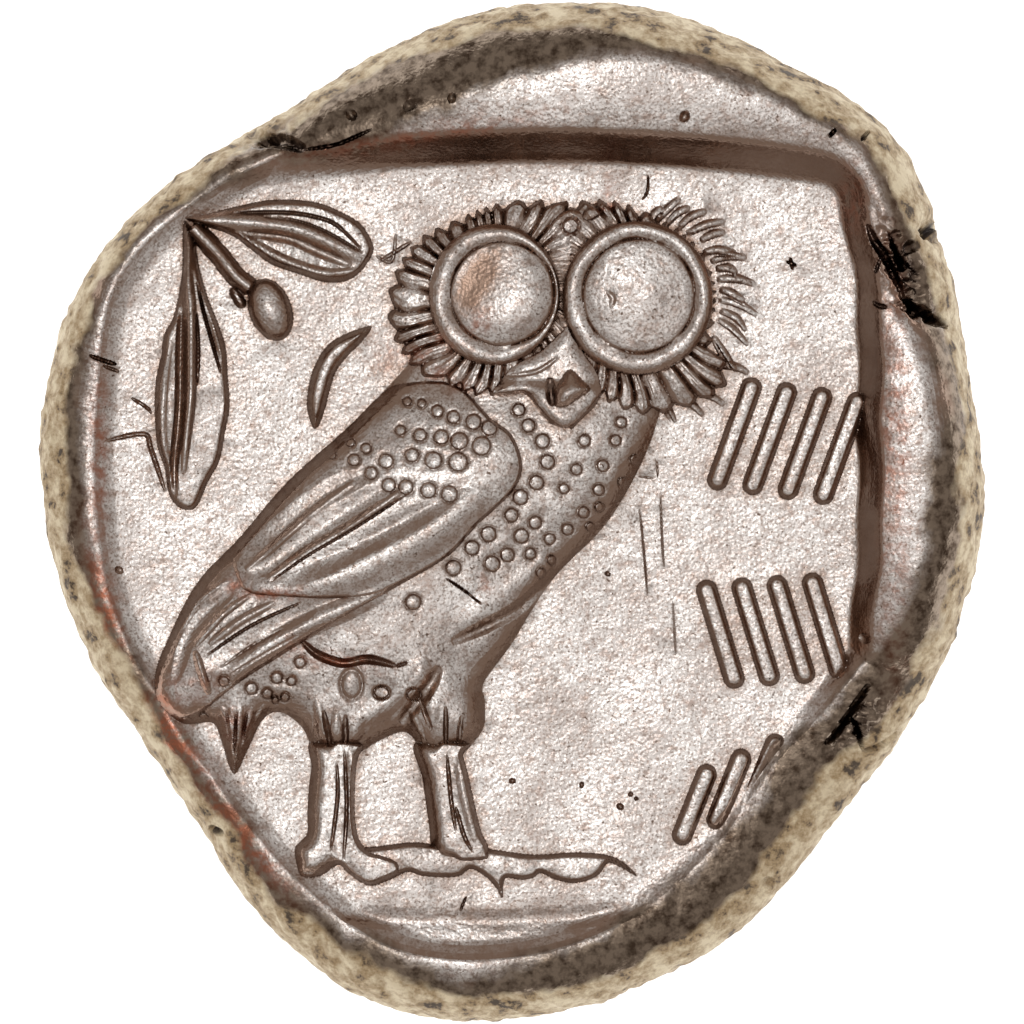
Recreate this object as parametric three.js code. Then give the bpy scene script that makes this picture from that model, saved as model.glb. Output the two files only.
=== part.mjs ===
// A struck silver tetradrachm, lying with its owl side up.
//
// One solid: a thick, lumpy flan. Its upper side is a square die mark with an
// owl, an olive spray, a crescent and rows of strokes standing in it. Its
// underside is domed and carries a helmeted head whose high points are worn
// to one flat patch, on which the coin rests.
//
// Millimetres, +Z up, +Y towards the top of the owl side. The origin is the
// middle of the bounding box, at the level of the worn patch.

import * as THREE from "three";

// ---- driving dimensions ----------------------------------------------------

const WEAR_LEVEL = 0;            // the plane that the underside is worn down to
const HEAD_FIELD = 1.35;         // underside field, at the middle
const HEAD_FIELD_CURL = 0.4;     // how far that field climbs by the edge
const OWL_FIELD = 4.55;          // floor of the square die mark
const EDGE_LOW = 2.7;            // the edge is upright between these heights
const EDGE_HIGH = 3.1;
const HEAD_SIDE_SHARE = 0.82;    // underside field radius over flan radius

// Radii around the flan, every 15 degrees from +X towards +Y.
const FLAN_RADII = [
  11.66, 11.8, 12.42, 13.25, 13.02, 12.94, 12.6, 11.97, 11.52, 11.82, 12.26, 12.12,
  11.8, 11.38, 10.98, 11.15, 12.12, 12.82, 12.69, 12.3, 11.78, 11.15, 11.13, 11.42,
];
// Radii where the struck face turns over into the edge.
const LIP_RADII = [
  10.2, 10.5, 10.8, 12.2, 11.85, 11.5, 10.6, 10.1, 10.5, 11.1, 11.5, 10.85,
  10.5, 10.35, 10.1, 10.2, 10.8, 11.4, 11.2, 10.65, 9.8, 9.1, 9.3, 9.8,
];
// How far the rim stands above the floor of the die mark.
const RIM_RISE = [
  1.2, 1.2, 1.05, 1.1, 1.25, 1.3, 1.25, 1.1, 0.6, 0.16, 0.14, 0.14,
  0.14, 0.12, 0.12, 0.12, 0.12, 0.24, 0.26, 0.16, 0.05, 0.02, 0.25, 0.9,
];

// The square die mark: two straight walls that meet in a rounded corner.
const DIE_TOP = 9.55;
const DIE_TOP_BOW = 0.012;
const DIE_TOP_MIDDLE = 0.8;
const DIE_RIGHT = 9.2;
const DIE_RIGHT_BOW = 0.008;
const DIE_RIGHT_MIDDLE = 2;
const DIE_CORNER = 1.3;
const DIE_WALL = 0.85;           // the walls' width, seen from above

// Splits and folds at the edge: from, to, half width, depth.
const EDGE_CRACKS = [
  { from: [-6.6, 9.7], to: [-5.3, 9.1], half: 0.22, depth: 0.5 },
  { from: [9.7, 7.2], to: [10.9, 4.4], half: 0.55, depth: 0.7 },
  { from: [8.7, -5.2], to: [9.6, -5.9], half: 0.3, depth: 0.7 },
];

// ---- mesh fineness ---------------------------------------------------------

const GRID = 256;                // cells along each side of the square grid
const FORM_TOLERANCE = 0.014;    // how far the first facets stand off the form
const FACETS = 9400;             // facets left after thinning
const ROUND_SHARE = 0.3;         // share of the surplus taken off in one round
const EDGE_SHARE = 0.14;         // share of the grid spent on the rounded edge
const CURVE_STEPS = 4;           // chords between two outline points

// ---- small helpers ---------------------------------------------------------

const clamp01 = (value) => Math.min(1, Math.max(0, value));

// 0 at the foot of a slope, 1 from `width` inwards, steepest at the foot.
function swell(distance, width) {
  const left = 1 - clamp01(distance / width);
  return 1 - left * left;
}

// 0 to 1 with a level start and end.
function ease(value) {
  const t = clamp01(value);
  return t * t * (3 - 2 * t);
}

// The Catmull-Rom curve through b and c, at t from 0 to 1.
function through(a, b, c, d, t) {
  const linear = (c - a) * t;
  const square = (2 * a - 5 * b + 4 * c - d) * t * t;
  const cube = (3 * b - a - 3 * c + d) * t * t * t;
  return b + 0.5 * (linear + square + cube);
}

// A value given every so many degrees around the flan, at any angle.
function around(values, angle) {
  const count = values.length;
  const turn = angle / (2 * Math.PI);
  const place = (turn - Math.floor(turn)) * count;
  const i = Math.floor(place) % count;
  const at = (k) => values[(i + k + count) % count];
  return through(at(-1), at(0), at(1), at(2), place - Math.floor(place));
}

// A closed outline through a few points, as short chords.
function outline(points) {
  const count = points.length;
  const loop = [];
  for (let i = 0; i < count; i += 1) {
    const [a, b, c, d] = [-1, 0, 1, 2].map((k) => points[(i + k + count) % count]);
    for (let k = 0; k < CURVE_STEPS; k += 1) {
      const t = k / CURVE_STEPS;
      loop.push([through(a[0], b[0], c[0], d[0], t), through(a[1], b[1], c[1], d[1], t)]);
    }
  }
  return loop;
}

// Distance from a point to a chord.
function chordDistance(x, y, from, to) {
  const dx = to[0] - from[0];
  const dy = to[1] - from[1];
  const t = clamp01(((x - from[0]) * dx + (y - from[1]) * dy) / (dx * dx + dy * dy));
  return Math.hypot(x - from[0] - t * dx, y - from[1] - t * dy);
}

// How deep a point lies inside a closed outline; 0 outside it.
function depthInside(x, y, loop) {
  let inside = false;
  let nearest = Infinity;
  for (let i = 0; i < loop.length; i += 1) {
    const a = loop[i];
    const b = loop[(i + 1) % loop.length];
    nearest = Math.min(nearest, chordDistance(x, y, a, b));
    const spans = a[1] > y !== b[1] > y;
    if (spans && x < a[0] + ((y - a[1]) * (b[0] - a[0])) / (b[1] - a[1])) inside = !inside;
  }
  return inside ? nearest : 0;
}

// Distance from the middle of an ellipse, 1 on its edge.
function ellipseReach(x, y, shape) {
  const c = Math.cos(shape.tilt ?? 0);
  const s = Math.sin(shape.tilt ?? 0);
  const dx = x - shape.x;
  const dy = y - shape.y;
  return Math.hypot((dx * c + dy * s) / shape.rx, (dy * c - dx * s) / shape.ry);
}

// ---- the owl side ----------------------------------------------------------

const HEAD = outline([
  [-3.2, 5.3], [-2.75, 6.4], [-1.65, 7.25], [-0.05, 7.75], [1.15, 7.85], [3.25, 7.5],
  [4.7, 6.55], [5.1, 5.3], [4.8, 4.2], [5.35, 3.4], [4.95, 2.9], [3.8, 2.45],
  [3.15, 2.35], [2.15, 2.8], [1.6, 2.2], [1.2, 1.95], [0.8, 2.2], [0.2, 2.95],
  [-1.2, 2.85], [-1.85, 3.2], [-2.55, 3.55], [-3.2, 4.6],
]);
const BODY = outline([
  [-2.8, 3.5], [-4.1, 2.15], [-5.7, 0.7], [-6.9, -0.7], [-7.9, -1.75], [-8.6, -3.05],
  [-9.1, -4.5], [-8.45, -5.35], [-7.6, -5.3], [-7.05, -6.6], [-6.6, -5.65],
  [-5.75, -5.05], [-5.05, -5.75], [-4.7, -6], [-3.95, -6], [-3.05, -5.55],
  [-2.2, -6.15], [-1.4, -6], [-0.75, -5.1], [-0.8, -4.5], [-0.15, -3.4],
  [0.9, -1.75], [2.2, -0.4], [3.05, 1], [3.55, 2.3], [2.9, 3.05], [0.15, 3.55],
]);
const SHOULDER = [
  [-0.6, 2.25], [-0.1, 1.85], [0.15, 1.1], [-0.1, 0.45], [-0.95, -0.35], [-1.7, -1.15],
];
const WING = outline([
  ...SHOULDER, [-2.95, -1.9], [-4.2, -2.55], [-5.25, -3.25], [-6.9, -4.3], [-8.2, -5.25],
  [-9.5, -5.3], [-9.3, -3.1], [-8, -1], [-6.2, 1], [-4.3, 2.7], [-1.8, 3.2],
]);
const COVERTS = outline([
  ...SHOULDER, [-2.95, -1.85], [-4.2, -2.15], [-5.85, -2.15], [-6.65, -2.05],
  [-6.95, -1.6], [-7.2, -0.4], [-6.2, 1], [-4.3, 2.7], [-1.8, 3.2],
]);
const LEFT_LEG = outline([
  [-5, -5.6], [-5, -6.6], [-5.2, -8], [-5.55, -8.85], [-5.25, -9.15], [-4.4, -8.9],
  [-3.6, -9.35], [-2.7, -8.95], [-3, -8.65], [-3.75, -8.3], [-3.85, -7.6], [-3.65, -5.75],
]);
const RIGHT_LEG = outline([
  [-2.65, -5.8], [-2.4, -6.6], [-2.1, -8.35], [-1.85, -8.65], [-0.85, -8.65],
  [-0.65, -8.45], [-0.9, -7.35], [-1.2, -6.2], [-1.05, -5.7],
]);
const GROUND = outline([
  [-5.25, -9.15], [-4.4, -8.9], [-3.65, -9.35], [-2.6, -9.05], [-1.35, -9.15],
  [-0.6, -9.25], [0.3, -9.3], [0.6, -9.05], [1.4, -9.25], [2.3, -8.85], [2.95, -9.05],
  [2.6, -8.6], [0.5, -8.4], [-2.4, -8.5], [-4.6, -8.5],
]);
const LEAVES = [
  [
    [-8.3, 7.25], [-6.85, 7.6], [-5.6, 7.7], [-4.2, 7.25], [-3.55, 6.4], [-3.95, 6.25],
    [-5.1, 6.7], [-6.45, 7.05], [-7.9, 7.15],
  ],
  [
    [-6.85, 7], [-5.6, 6.8], [-4.35, 6.3], [-3.9, 6], [-4.05, 5.75], [-4.45, 5.65],
    [-5.7, 6.05], [-6.7, 6.6],
  ],
  [
    [-8.25, 7.2], [-8.35, 5.55], [-8.85, 4.5], [-9.1, 2.2], [-8.85, 0.9], [-8.2, 0],
    [-7.45, 1.15], [-7.1, 2.6], [-7.25, 4.05], [-7.85, 5.85], [-8, 6.8],
  ],
].map(outline);
const CRESCENT = outline([
  [-3.65, 4.55], [-4.7, 4.05], [-5.2, 2.95], [-5.1, 2.05], [-4.65, 2.95], [-4.15, 3.85],
]);
const BERRY = { x: -6.2, y: 4.93, rx: 0.52, ry: 0.8, tilt: 0.3 };
const STALK = { from: [-7.85, 6.75], to: [-6.5, 5.5], half: 0.24, rise: 0.26 };

const EYES = [
  { ball: { x: -0.34, y: 5.39, rx: 1.3, ry: 1.3 }, ring: { rx: 1.65, ry: 1.8 } },
  { ball: { x: 3.06, y: 5.33, rx: 1.43, ry: 1.43 }, ring: { rx: 1.88, ry: 1.93 } },
];
const BEAK = { x: 1.25, y: 2.95, rx: 0.38, ry: 0.75, tilt: 0.2 };

// Rows of short strokes at the right of the field, as slanted bars.
const STROKE_ROWS = [
  { x: 5.45, y: 1.9, dx: 0.88, dy: -0.12, lean: [0.42, 1.15], count: 4 },
  { x: 5.1, y: -3.1, dx: 0.88, dy: 0.06, lean: [-0.34, 1.1], count: 4 },
  { x: 4.45, y: -7.35, dx: 0.86, dy: 0.38, lean: [0.3, 0.75], count: 3 },
];

function strokes() {
  const bars = [];
  for (const row of STROKE_ROWS) {
    for (let i = 0; i < row.count; i += 1) {
      const x = row.x + i * row.dx;
      const y = row.y + i * row.dy;
      const [leanX, leanY] = row.lean;
      const from = [x - leanX, y - leanY];
      const to = [x + leanX, y + leanY];
      bars.push({ from, to, half: 0.24, rise: 0.26 });
    }
  }
  return bars;
}
const BARS = [...strokes(), STALK];

// Height of the rim and the walls of the die mark above its floor.
function rimHeight(x, y) {
  const angle = Math.atan2(y, x);
  const rise = around(RIM_RISE, angle);
  const top = DIE_TOP - DIE_TOP_BOW * (x - DIE_TOP_MIDDLE) ** 2;
  const right = DIE_RIGHT - DIE_RIGHT_BOW * (y - DIE_RIGHT_MIDDLE) ** 2;
  const overTop = y - top + DIE_CORNER;
  const overRight = x - right + DIE_CORNER;
  const corner = Math.hypot(Math.max(overTop, 0), Math.max(overRight, 0));
  const straight = Math.min(0, Math.max(overTop, overRight));
  const wall = ease((corner + straight - DIE_CORNER + DIE_WALL) / DIE_WALL);
  const lip = around(LIP_RADII, angle) - Math.hypot(x, y);
  const plainLip = Math.min(rise, 0.3) * (1 - ease(lip / 0.35));
  return Math.max(rise * wall, plainLip);
}

function owlBody(x, y) {
  const deep = depthInside(x, y, BODY);
  if (deep === 0) return 0;
  const cover = clamp01(deep / 0.3);
  const dome = 0.5 * swell(deep, 0.6) + 0.36 * swell(deep, 3);
  const wing = 0.13 * swell(depthInside(x, y, WING), 0.3);
  const coverts = 0.13 * swell(depthInside(x, y, COVERTS), 0.25);
  return dome + cover * (wing + coverts);
}

function owlHead(x, y) {
  const deep = depthInside(x, y, HEAD);
  if (deep === 0) return 0;
  let height = 0.72 * swell(deep, 0.45) + 0.14 * swell(deep, 1.2);
  for (const { ball, ring } of EYES) {
    const eye = ellipseReach(x, y, ball);
    const outer = ellipseReach(x, y, { ...ball, ...ring });
    if (eye < 1) height = 0.8 + 0.36 * Math.sqrt(1 - eye * eye * 0.96);
    else if (outer < 1) height = 0.86 + 0.24 * Math.sin((Math.PI * (1 - outer)) / 0.22);
  }
  const beak = ellipseReach(x, y, BEAK);
  return beak < 1 ? height + 0.3 * (1 - beak * beak) : height;
}

function olive(x, y) {
  let height = 0;
  for (const leaf of LEAVES) height = Math.max(height, 0.3 * swell(depthInside(x, y, leaf), 0.35));
  const berry = ellipseReach(x, y, BERRY);
  return berry < 1 ? Math.max(height, 0.46 * Math.sqrt(1 - berry * berry)) : height;
}

// The height of the owl side over the floor of the die mark.
function owlRelief(x, y) {
  let height = Math.max(owlBody(x, y), owlHead(x, y), olive(x, y));
  height = Math.max(height, 0.42 * swell(depthInside(x, y, LEFT_LEG), 0.32));
  height = Math.max(height, 0.42 * swell(depthInside(x, y, RIGHT_LEG), 0.32));
  height = Math.max(height, 0.24 * swell(depthInside(x, y, GROUND), 0.22));
  height = Math.max(height, 0.32 * swell(depthInside(x, y, CRESCENT), 0.22));
  for (const bar of BARS) {
    const reach = bar.half - chordDistance(x, y, bar.from, bar.to);
    if (reach > 0) height = Math.max(height, bar.rise * swell(reach, bar.half));
  }
  return height;
}

function crackDepth(x, y) {
  let depth = 0;
  for (const crack of EDGE_CRACKS) {
    const off = chordDistance(x, y, crack.from, crack.to) / crack.half;
    depth = Math.max(depth, crack.depth * (1 - ease(off)));
  }
  return depth;
}

function owlFace(x, y) {
  return OWL_FIELD + Math.max(rimHeight(x, y), owlRelief(x, y)) - crackDepth(x, y);
}

// ---- the head side ---------------------------------------------------------

// Seen from below, so +S is towards -X. The face is set out in thirds, from
// hairline to brow, brow to nose and nose to chin.
const CROWN = 8.4;
const CHIN = -5.9;
const THIRD = (6.4 - CHIN) / 3;
const BROW = CHIN + 2 * THIRD;
const NOSE = CHIN + THIRD;
const MOUTH = CHIN + (2 * THIRD) / 3;
const FOREHEAD = 5.1;            // how far forward the brow lies

const PROFILE = outline([
  [FOREHEAD, BROW + 1.6], [FOREHEAD + 0.25, BROW], [FOREHEAD - 0.1, BROW - 0.9],
  [FOREHEAD + 1.3, NOSE + 0.6], [FOREHEAD + 1.1, NOSE + 0.1], [FOREHEAD + 0.35, NOSE - 0.2],
  [FOREHEAD + 0.6, MOUTH + 0.35], [FOREHEAD + 0.25, MOUTH], [FOREHEAD + 0.45, MOUTH - 0.4],
  [FOREHEAD - 0.05, MOUTH - 0.95], [FOREHEAD + 0.15, CHIN + 0.6], [FOREHEAD - 0.9, CHIN],
  [1.9, CHIN + 0.5], [1.2, -7.4], [1.8, -8.8], [-1.6, -9.3], [-4.4, -8.3], [-4.3, -5.6],
  [-6.3, -4], [-6.9, 1], [-4, 5.8], [1, 7], [4.3, 5.6],
]);
const HELMET = outline([
  [5.3, 4.3], [4.4, 6.2], [1.5, CROWN - 0.6], [-2.6, 7.4], [-6.2, 4.6], [-7.7, 0.6],
  [-7.6, -3.6], [-5.4, -4.6], [-4.5, -2.4], [-3.2, 0.6], [-1.6, 3.1], [1.5, 3.9],
]);
const CREST = outline([
  [4.6, 7.3], [1, 9.6], [-3.5, 8.9], [-7.3, 6], [-9.1, 1.4], [-9, -3.4],
  [-8.2, -3.2], [-8.3, 1], [-6.7, 5.2], [-3, 8], [1, 8.3], [4.2, 6.7],
]);
const FACE_EYE = { x: 3.5, y: BROW - 1.15, rx: 0.75, ry: 0.34 };
const EAR = { x: -1.4, y: (BROW + NOSE) / 2 - 0.2, rx: 0.6, ry: 1.2, tilt: -0.15 };
const HEAD_DOME = { x: -0.8, y: 0.6, rx: 8, ry: 8 };

// How far the head side stands below its field.
function headRelief(s, y) {
  const crest = 0.6 * swell(depthInside(s, y, CREST), 0.35);
  const helmetDepth = depthInside(s, y, HELMET);
  const depth = Math.max(depthInside(s, y, PROFILE), helmetDepth);
  if (depth === 0) return crest;
  const dome = 0.95 * (1 - ellipseReach(s, y, HEAD_DOME) ** 2);
  let height = 0.5 * swell(depth, 0.5) + dome * swell(depth, 2.5);
  height += 0.2 * swell(helmetDepth, 0.25);
  const eye = ellipseReach(s, y, FACE_EYE);
  if (eye < 1.5) height += 0.16 * Math.cos(eye * Math.PI);
  const ear = ellipseReach(s, y, EAR);
  if (ear < 1) height -= 0.2 * Math.sin(Math.PI * ear);
  return Math.max(crest, height);
}

function headFace(x, y) {
  const share = Math.hypot(x, y) / around(FLAN_RADII, Math.atan2(y, x));
  const field = HEAD_FIELD + HEAD_FIELD_CURL * share * share;
  return Math.max(WEAR_LEVEL, field - headRelief(-x, y));
}

// ---- from the two faces to one closed body ---------------------------------

// The unit square's rings laid onto rings of the disc: [angle, ring].
function squareToDisc(u, v) {
  if (u === 0 && v === 0) return [0, 0];
  const quarter = Math.PI / 4;
  if (Math.abs(u) >= Math.abs(v)) {
    return [(u < 0 ? Math.PI : 0) + (quarter * v) / u, Math.abs(u)];
  }
  return [(v < 0 ? -2 : 2) * quarter - (quarter * u) / v, Math.abs(v)];
}

// A point of one half: the struck face, then a quarter round out to the edge.
function halfPoint(u, v, half) {
  const [angle, ring] = squareToDisc(u, v);
  const flan = around(FLAN_RADII, angle);
  const lip = half.lip(angle, flan);
  const inner = 1 - EDGE_SHARE;
  const along = [Math.cos(angle), Math.sin(angle)];
  if (ring <= inner) {
    const r = (lip * ring) / inner;
    const [x, y] = [r * along[0], r * along[1]];
    return new THREE.Vector3(x, y, half.face(x, y));
  }
  const bend = ((ring - inner) / EDGE_SHARE) * (Math.PI / 2);
  const lipHeight = half.face(lip * along[0], lip * along[1]);
  const r = lip + (flan - lip) * Math.sin(bend);
  const crack = half.crack * crackDepth(r * along[0], r * along[1]) * Math.cos(bend);
  const z = half.edge + (lipHeight - half.edge) * Math.cos(bend) - crack;
  return new THREE.Vector3(r * along[0], r * along[1], z);
}

function sampleHalf(half) {
  const side = GRID + 1;
  const points = new Array(side * side);
  for (let j = 0; j < side; j += 1) {
    for (let i = 0; i < side; i += 1) {
      points[j * side + i] = halfPoint((2 * i) / GRID - 1, (2 * j) / GRID - 1, half);
    }
  }
  return points;
}

// How far the middle of a long side lies off the form, square to the form.
function standOff(points, i, j, di, dj) {
  const side = GRID + 1;
  const at = (p, q) => points[q * side + p];
  const keep = (p) => Math.min(GRID, Math.max(0, p));
  const across = at(keep(i + 1), j).clone().sub(at(keep(i - 1), j));
  const upward = at(i, keep(j + 1)).clone().sub(at(i, keep(j - 1)));
  const chordMiddle = at(i - di, j - dj).clone().add(at(i + di, j + dj)).multiplyScalar(0.5);
  return Math.abs(chordMiddle.sub(at(i, j)).dot(across.cross(upward).normalize()));
}

// For each grid point, the worst error hidden by leaving it out. Right
// triangles are halved at the middle of their long side, so each point's
// error takes in those of the four points that depend on it.
function hiddenErrors(points) {
  const side = GRID + 1;
  const errors = new Float64Array(side * side);
  const spread = (i, j, offsets) => {
    for (const [di, dj] of offsets) {
      const [p, q] = [i + di, j + dj];
      if (p < 0 || q < 0 || p > GRID || q > GRID) continue;
      errors[j * side + i] = Math.max(errors[j * side + i], errors[q * side + p]);
    }
  };
  for (let step = 1; step < GRID; step *= 2) {
    const fine = step / 2;
    const corners = [[-fine, -fine], [fine, -fine], [-fine, fine], [fine, fine]];
    for (let j = 0; j <= GRID; j += step) {
      for (let i = 0; i <= GRID; i += step) {
        const [oddI, oddJ] = [(i / step) % 2 === 1, (j / step) % 2 === 1];
        if (oddI === oddJ) continue;
        errors[j * side + i] = standOff(points, i, j, oddI ? step : 0, oddJ ? step : 0);
        if (step > 1) spread(i, j, corners);
      }
    }
    const sides = [[-step, 0], [step, 0], [0, -step], [0, step]];
    for (let j = step; j < GRID; j += 2 * step) {
      for (let i = step; i < GRID; i += 2 * step) {
        const rising = ((i - step) / (2 * step) + (j - step) / (2 * step)) % 2 === 0;
        errors[j * side + i] = standOff(points, i, j, step, rising ? step : -step);
        spread(i, j, sides);
      }
    }
  }
  return errors;
}

// Triangles of one half, as grid point numbers, fine only where the form needs it.
function triangulate(errors, tolerance) {
  const side = GRID + 1;
  const triangles = [];
  const number = (p) => p[1] * side + p[0];
  const split = (a, b, apex) => {
    const middle = [(a[0] + b[0]) / 2, (a[1] + b[1]) / 2];
    const reach = Math.abs(a[0] - apex[0]) + Math.abs(a[1] - apex[1]);
    if (reach > 1 && errors[number(middle)] > tolerance) {
      split(apex, a, middle);
      split(b, apex, middle);
    } else {
      triangles.push([number(a), number(b), number(apex)]);
    }
  };
  split([0, 0], [GRID, GRID], [0, GRID]);
  split([GRID, GRID], [0, 0], [GRID, 0]);
  return triangles;
}

// The points of a half that lie on the flan's widest line, by rising angle.
function widestLoop(triangles) {
  const side = GRID + 1;
  const loop = new Map();
  for (const number of triangles.flat()) {
    const i = number % side;
    const j = (number - i) / side;
    if (i > 0 && i < GRID && j > 0 && j < GRID) continue;
    const [angle] = squareToDisc((2 * i) / GRID - 1, (2 * j) / GRID - 1);
    loop.set(number, (angle + 2 * Math.PI) % (2 * Math.PI));
  }
  return [...loop].sort((a, b) => a[1] - b[1]).map(([number, angle]) => ({ number, angle }));
}

// The upright band between the two halves' widest lines.
function joinLoops(low, high) {
  const triangles = [];
  let [i, j] = [0, 0];
  const angleAt = (loop, k) => loop[k % loop.length].angle + (k >= loop.length ? 2 * Math.PI : 0);
  const pick = (loop, k) => loop[k % loop.length].number;
  while (i < low.length || j < high.length) {
    const stepLow = j >= high.length || (i < low.length && angleAt(low, i + 1) <= angleAt(high, j + 1));
    if (stepLow) {
      triangles.push([pick(low, i), pick(low, i + 1), pick(high, j)]);
      i += 1;
    } else {
      triangles.push([pick(low, i), pick(high, j + 1), pick(high, j)]);
      j += 1;
    }
  }
  return triangles;
}

// The body at full fineness: all points, and the triangles that use some of them.
function fineBody() {
  const owl = {
    face: owlFace, edge: EDGE_HIGH, crack: 1,
    lip: (angle) => around(LIP_RADII, angle),
  };
  const head = {
    face: headFace, edge: EDGE_LOW, crack: 0,
    lip: (angle, flan) => flan * HEAD_SIDE_SHARE,
  };
  const owlPoints = sampleHalf(owl);
  const headPoints = sampleHalf(head);
  const owlTriangles = triangulate(hiddenErrors(owlPoints), FORM_TOLERANCE);
  const headTriangles = triangulate(hiddenErrors(headPoints), FORM_TOLERANCE);

  // The head side's points follow the owl side's; its triangles face down.
  const offset = owlPoints.length;
  const under = headTriangles.map(([a, b, c]) => [b + offset, a + offset, c + offset]);
  const low = widestLoop(headTriangles);
  for (const place of low) place.number += offset;
  const band = joinLoops(low, widestLoop(owlTriangles));
  return { points: [...owlPoints, ...headPoints], triangles: [...owlTriangles, ...under, ...band] };
}

// ---- thinning --------------------------------------------------------------

// A sum of squared distances to planes, as the ten numbers of its matrix.
function addPlane(sum, normal, offset, weight) {
  const plane = [normal.x, normal.y, normal.z, offset];
  let k = 0;
  for (let i = 0; i < 4; i += 1) {
    for (let j = i; j < 4; j += 1) {
      sum[k] += weight * plane[i] * plane[j];
      k += 1;
    }
  }
}

function planeError(q, p) {
  const squares = q[0] * p.x * p.x + q[4] * p.y * p.y + q[7] * p.z * p.z;
  const products = q[1] * p.x * p.y + q[2] * p.x * p.z + q[5] * p.y * p.z;
  return squares + 2 * (products + q[3] * p.x + q[6] * p.y + q[8] * p.z) + q[9];
}

// Where the error is least, or null where the planes don't fix a point.
function bestPoint(q) {
  const matrix = new THREE.Matrix3().set(q[0], q[1], q[2], q[1], q[4], q[5], q[2], q[5], q[7]);
  const size = q[0] + q[4] + q[7];
  if (Math.abs(matrix.determinant()) < 1e-4 * size ** 3) return null;
  return new THREE.Vector3(-q[3], -q[6], -q[8]).applyMatrix3(matrix.invert());
}

const faceNormal = (a, b, c) => b.clone().sub(a).cross(c.clone().sub(a));

// The faces at each point, and the sum of their planes.
function survey(points, faces) {
  const facesAt = new Map();
  const planes = new Map();
  faces.forEach((face, number) => {
    const corners = face.map((k) => points[k]);
    const normal = faceNormal(...corners);
    const area = normal.length() / 2;
    normal.normalize();
    for (const corner of face) {
      if (!facesAt.has(corner)) {
        facesAt.set(corner, []);
        planes.set(corner, new Float64Array(10));
      }
      facesAt.get(corner).push(number);
      addPlane(planes.get(corner), normal, -normal.dot(corners[0]), area);
    }
  });
  return { facesAt, planes };
}

// The point that two joined points would become, and the error that it brings.
function plannedJoin(points, planes, a, b) {
  const sum = planes.get(a).map((value, k) => value + planes.get(b)[k]);
  const middle = points[a].clone().lerp(points[b], 0.5);
  const choices = [points[a], points[b], middle];
  const best = bestPoint(sum);
  const reach = points[a].distanceTo(points[b]);
  if (best && best.distanceTo(middle) < reach) choices.push(best);
  let plan = null;
  for (const point of choices) {
    const error = planeError(sum, point) + 1e-7 * reach * reach;
    if (plan === null || error < plan.error) plan = { a, b, point, error };
  }
  return plan;
}

// Whether two points can become one with no face turned over or folded.
function joinIsSound(points, faces, facesAt, { a, b, point }) {
  const beside = (k) => new Set(facesAt.get(k).flatMap((face) => faces[face]));
  const besideB = beside(b);
  const shared = [...beside(a)].filter((k) => k !== a && k !== b && besideB.has(k));
  if (shared.length !== 2) return false;
  for (const moved of [a, b]) {
    for (const number of facesAt.get(moved)) {
      const face = faces[number];
      if (face.includes(a) && face.includes(b)) continue;
      const before = faceNormal(...face.map((k) => points[k]));
      const after = faceNormal(...face.map((k) => (k === moved ? point : points[k])));
      const longest = Math.max(...face.map((k) => point.distanceToSquared(points[k])));
      if (after.dot(before) < 0.3 * after.length() * before.length()) return false;
      if (after.length() < 0.04 * longest || after.z * before.z < 0) return false;
    }
  }
  return true;
}

// One round: the cheapest joins that don't touch each other.
function joinRound(points, faces, quota) {
  const { facesAt, planes } = survey(points, faces);
  const plans = [];
  for (const face of faces) {
    for (let k = 0; k < 3; k += 1) {
      const [a, b] = [face[k], face[(k + 1) % 3]];
      if (a < b) plans.push(plannedJoin(points, planes, a, b));
    }
  }
  plans.sort((p, q) => p.error - q.error);
  const touched = new Set();
  const renamed = new Map();
  for (const plan of plans) {
    if (renamed.size >= quota) break;
    const near = [plan.a, plan.b].flatMap((k) => facesAt.get(k)).flatMap((face) => faces[face]);
    if (near.some((k) => touched.has(k))) continue;
    if (!joinIsSound(points, faces, facesAt, plan)) continue;
    for (const k of near) touched.add(k);
    points[plan.a] = plan.point.clone();
    renamed.set(plan.b, plan.a);
  }
  const kept = faces.map((face) => face.map((k) => renamed.get(k) ?? k));
  return kept.filter(([a, b, c]) => a !== b && b !== c && c !== a);
}

function thin({ points, triangles }, goal) {
  let faces = triangles;
  while (faces.length > goal) {
    const surplus = (faces.length - goal) / 2;
    const quota = Math.max(1, Math.floor(surplus * ROUND_SHARE));
    const before = faces.length;
    faces = joinRound(points, faces, quota);
    if (faces.length === before) break;
  }
  return faces;
}

function flanGeometry() {
  const body = fineBody();
  const faces = thin(body, FACETS);
  const numbers = new Map();
  const position = [];
  const index = [];
  for (const number of faces.flat()) {
    if (!numbers.has(number)) {
      numbers.set(number, numbers.size);
      const { x, y, z } = body.points[number];
      position.push(x, y, Math.max(z, WEAR_LEVEL));
    }
    index.push(numbers.get(number));
  }
  const geometry = new THREE.BufferGeometry();
  geometry.setAttribute("position", new THREE.Float32BufferAttribute(position, 3));
  geometry.setIndex(index);
  return geometry;
}

// Puts the middle of the bounding box over the origin, and its floor on z = 0.
function settle(geometry) {
  geometry.computeBoundingBox();
  const { min, max } = geometry.boundingBox;
  geometry.translate(-(min.x + max.x) / 2, -(min.y + max.y) / 2, -min.z);
  geometry.computeVertexNormals();
  return geometry;
}

const silver = new THREE.MeshStandardMaterial({
  name: "toned_silver", color: 0xb9b2ac, roughness: 0.42, metalness: 0.9,
});

const flan = new THREE.Mesh(settle(flanGeometry()), silver);
flan.name = "struck_flan";

const tetradrachm = new THREE.Group();
tetradrachm.add(flan);

export default tetradrachm;
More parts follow.
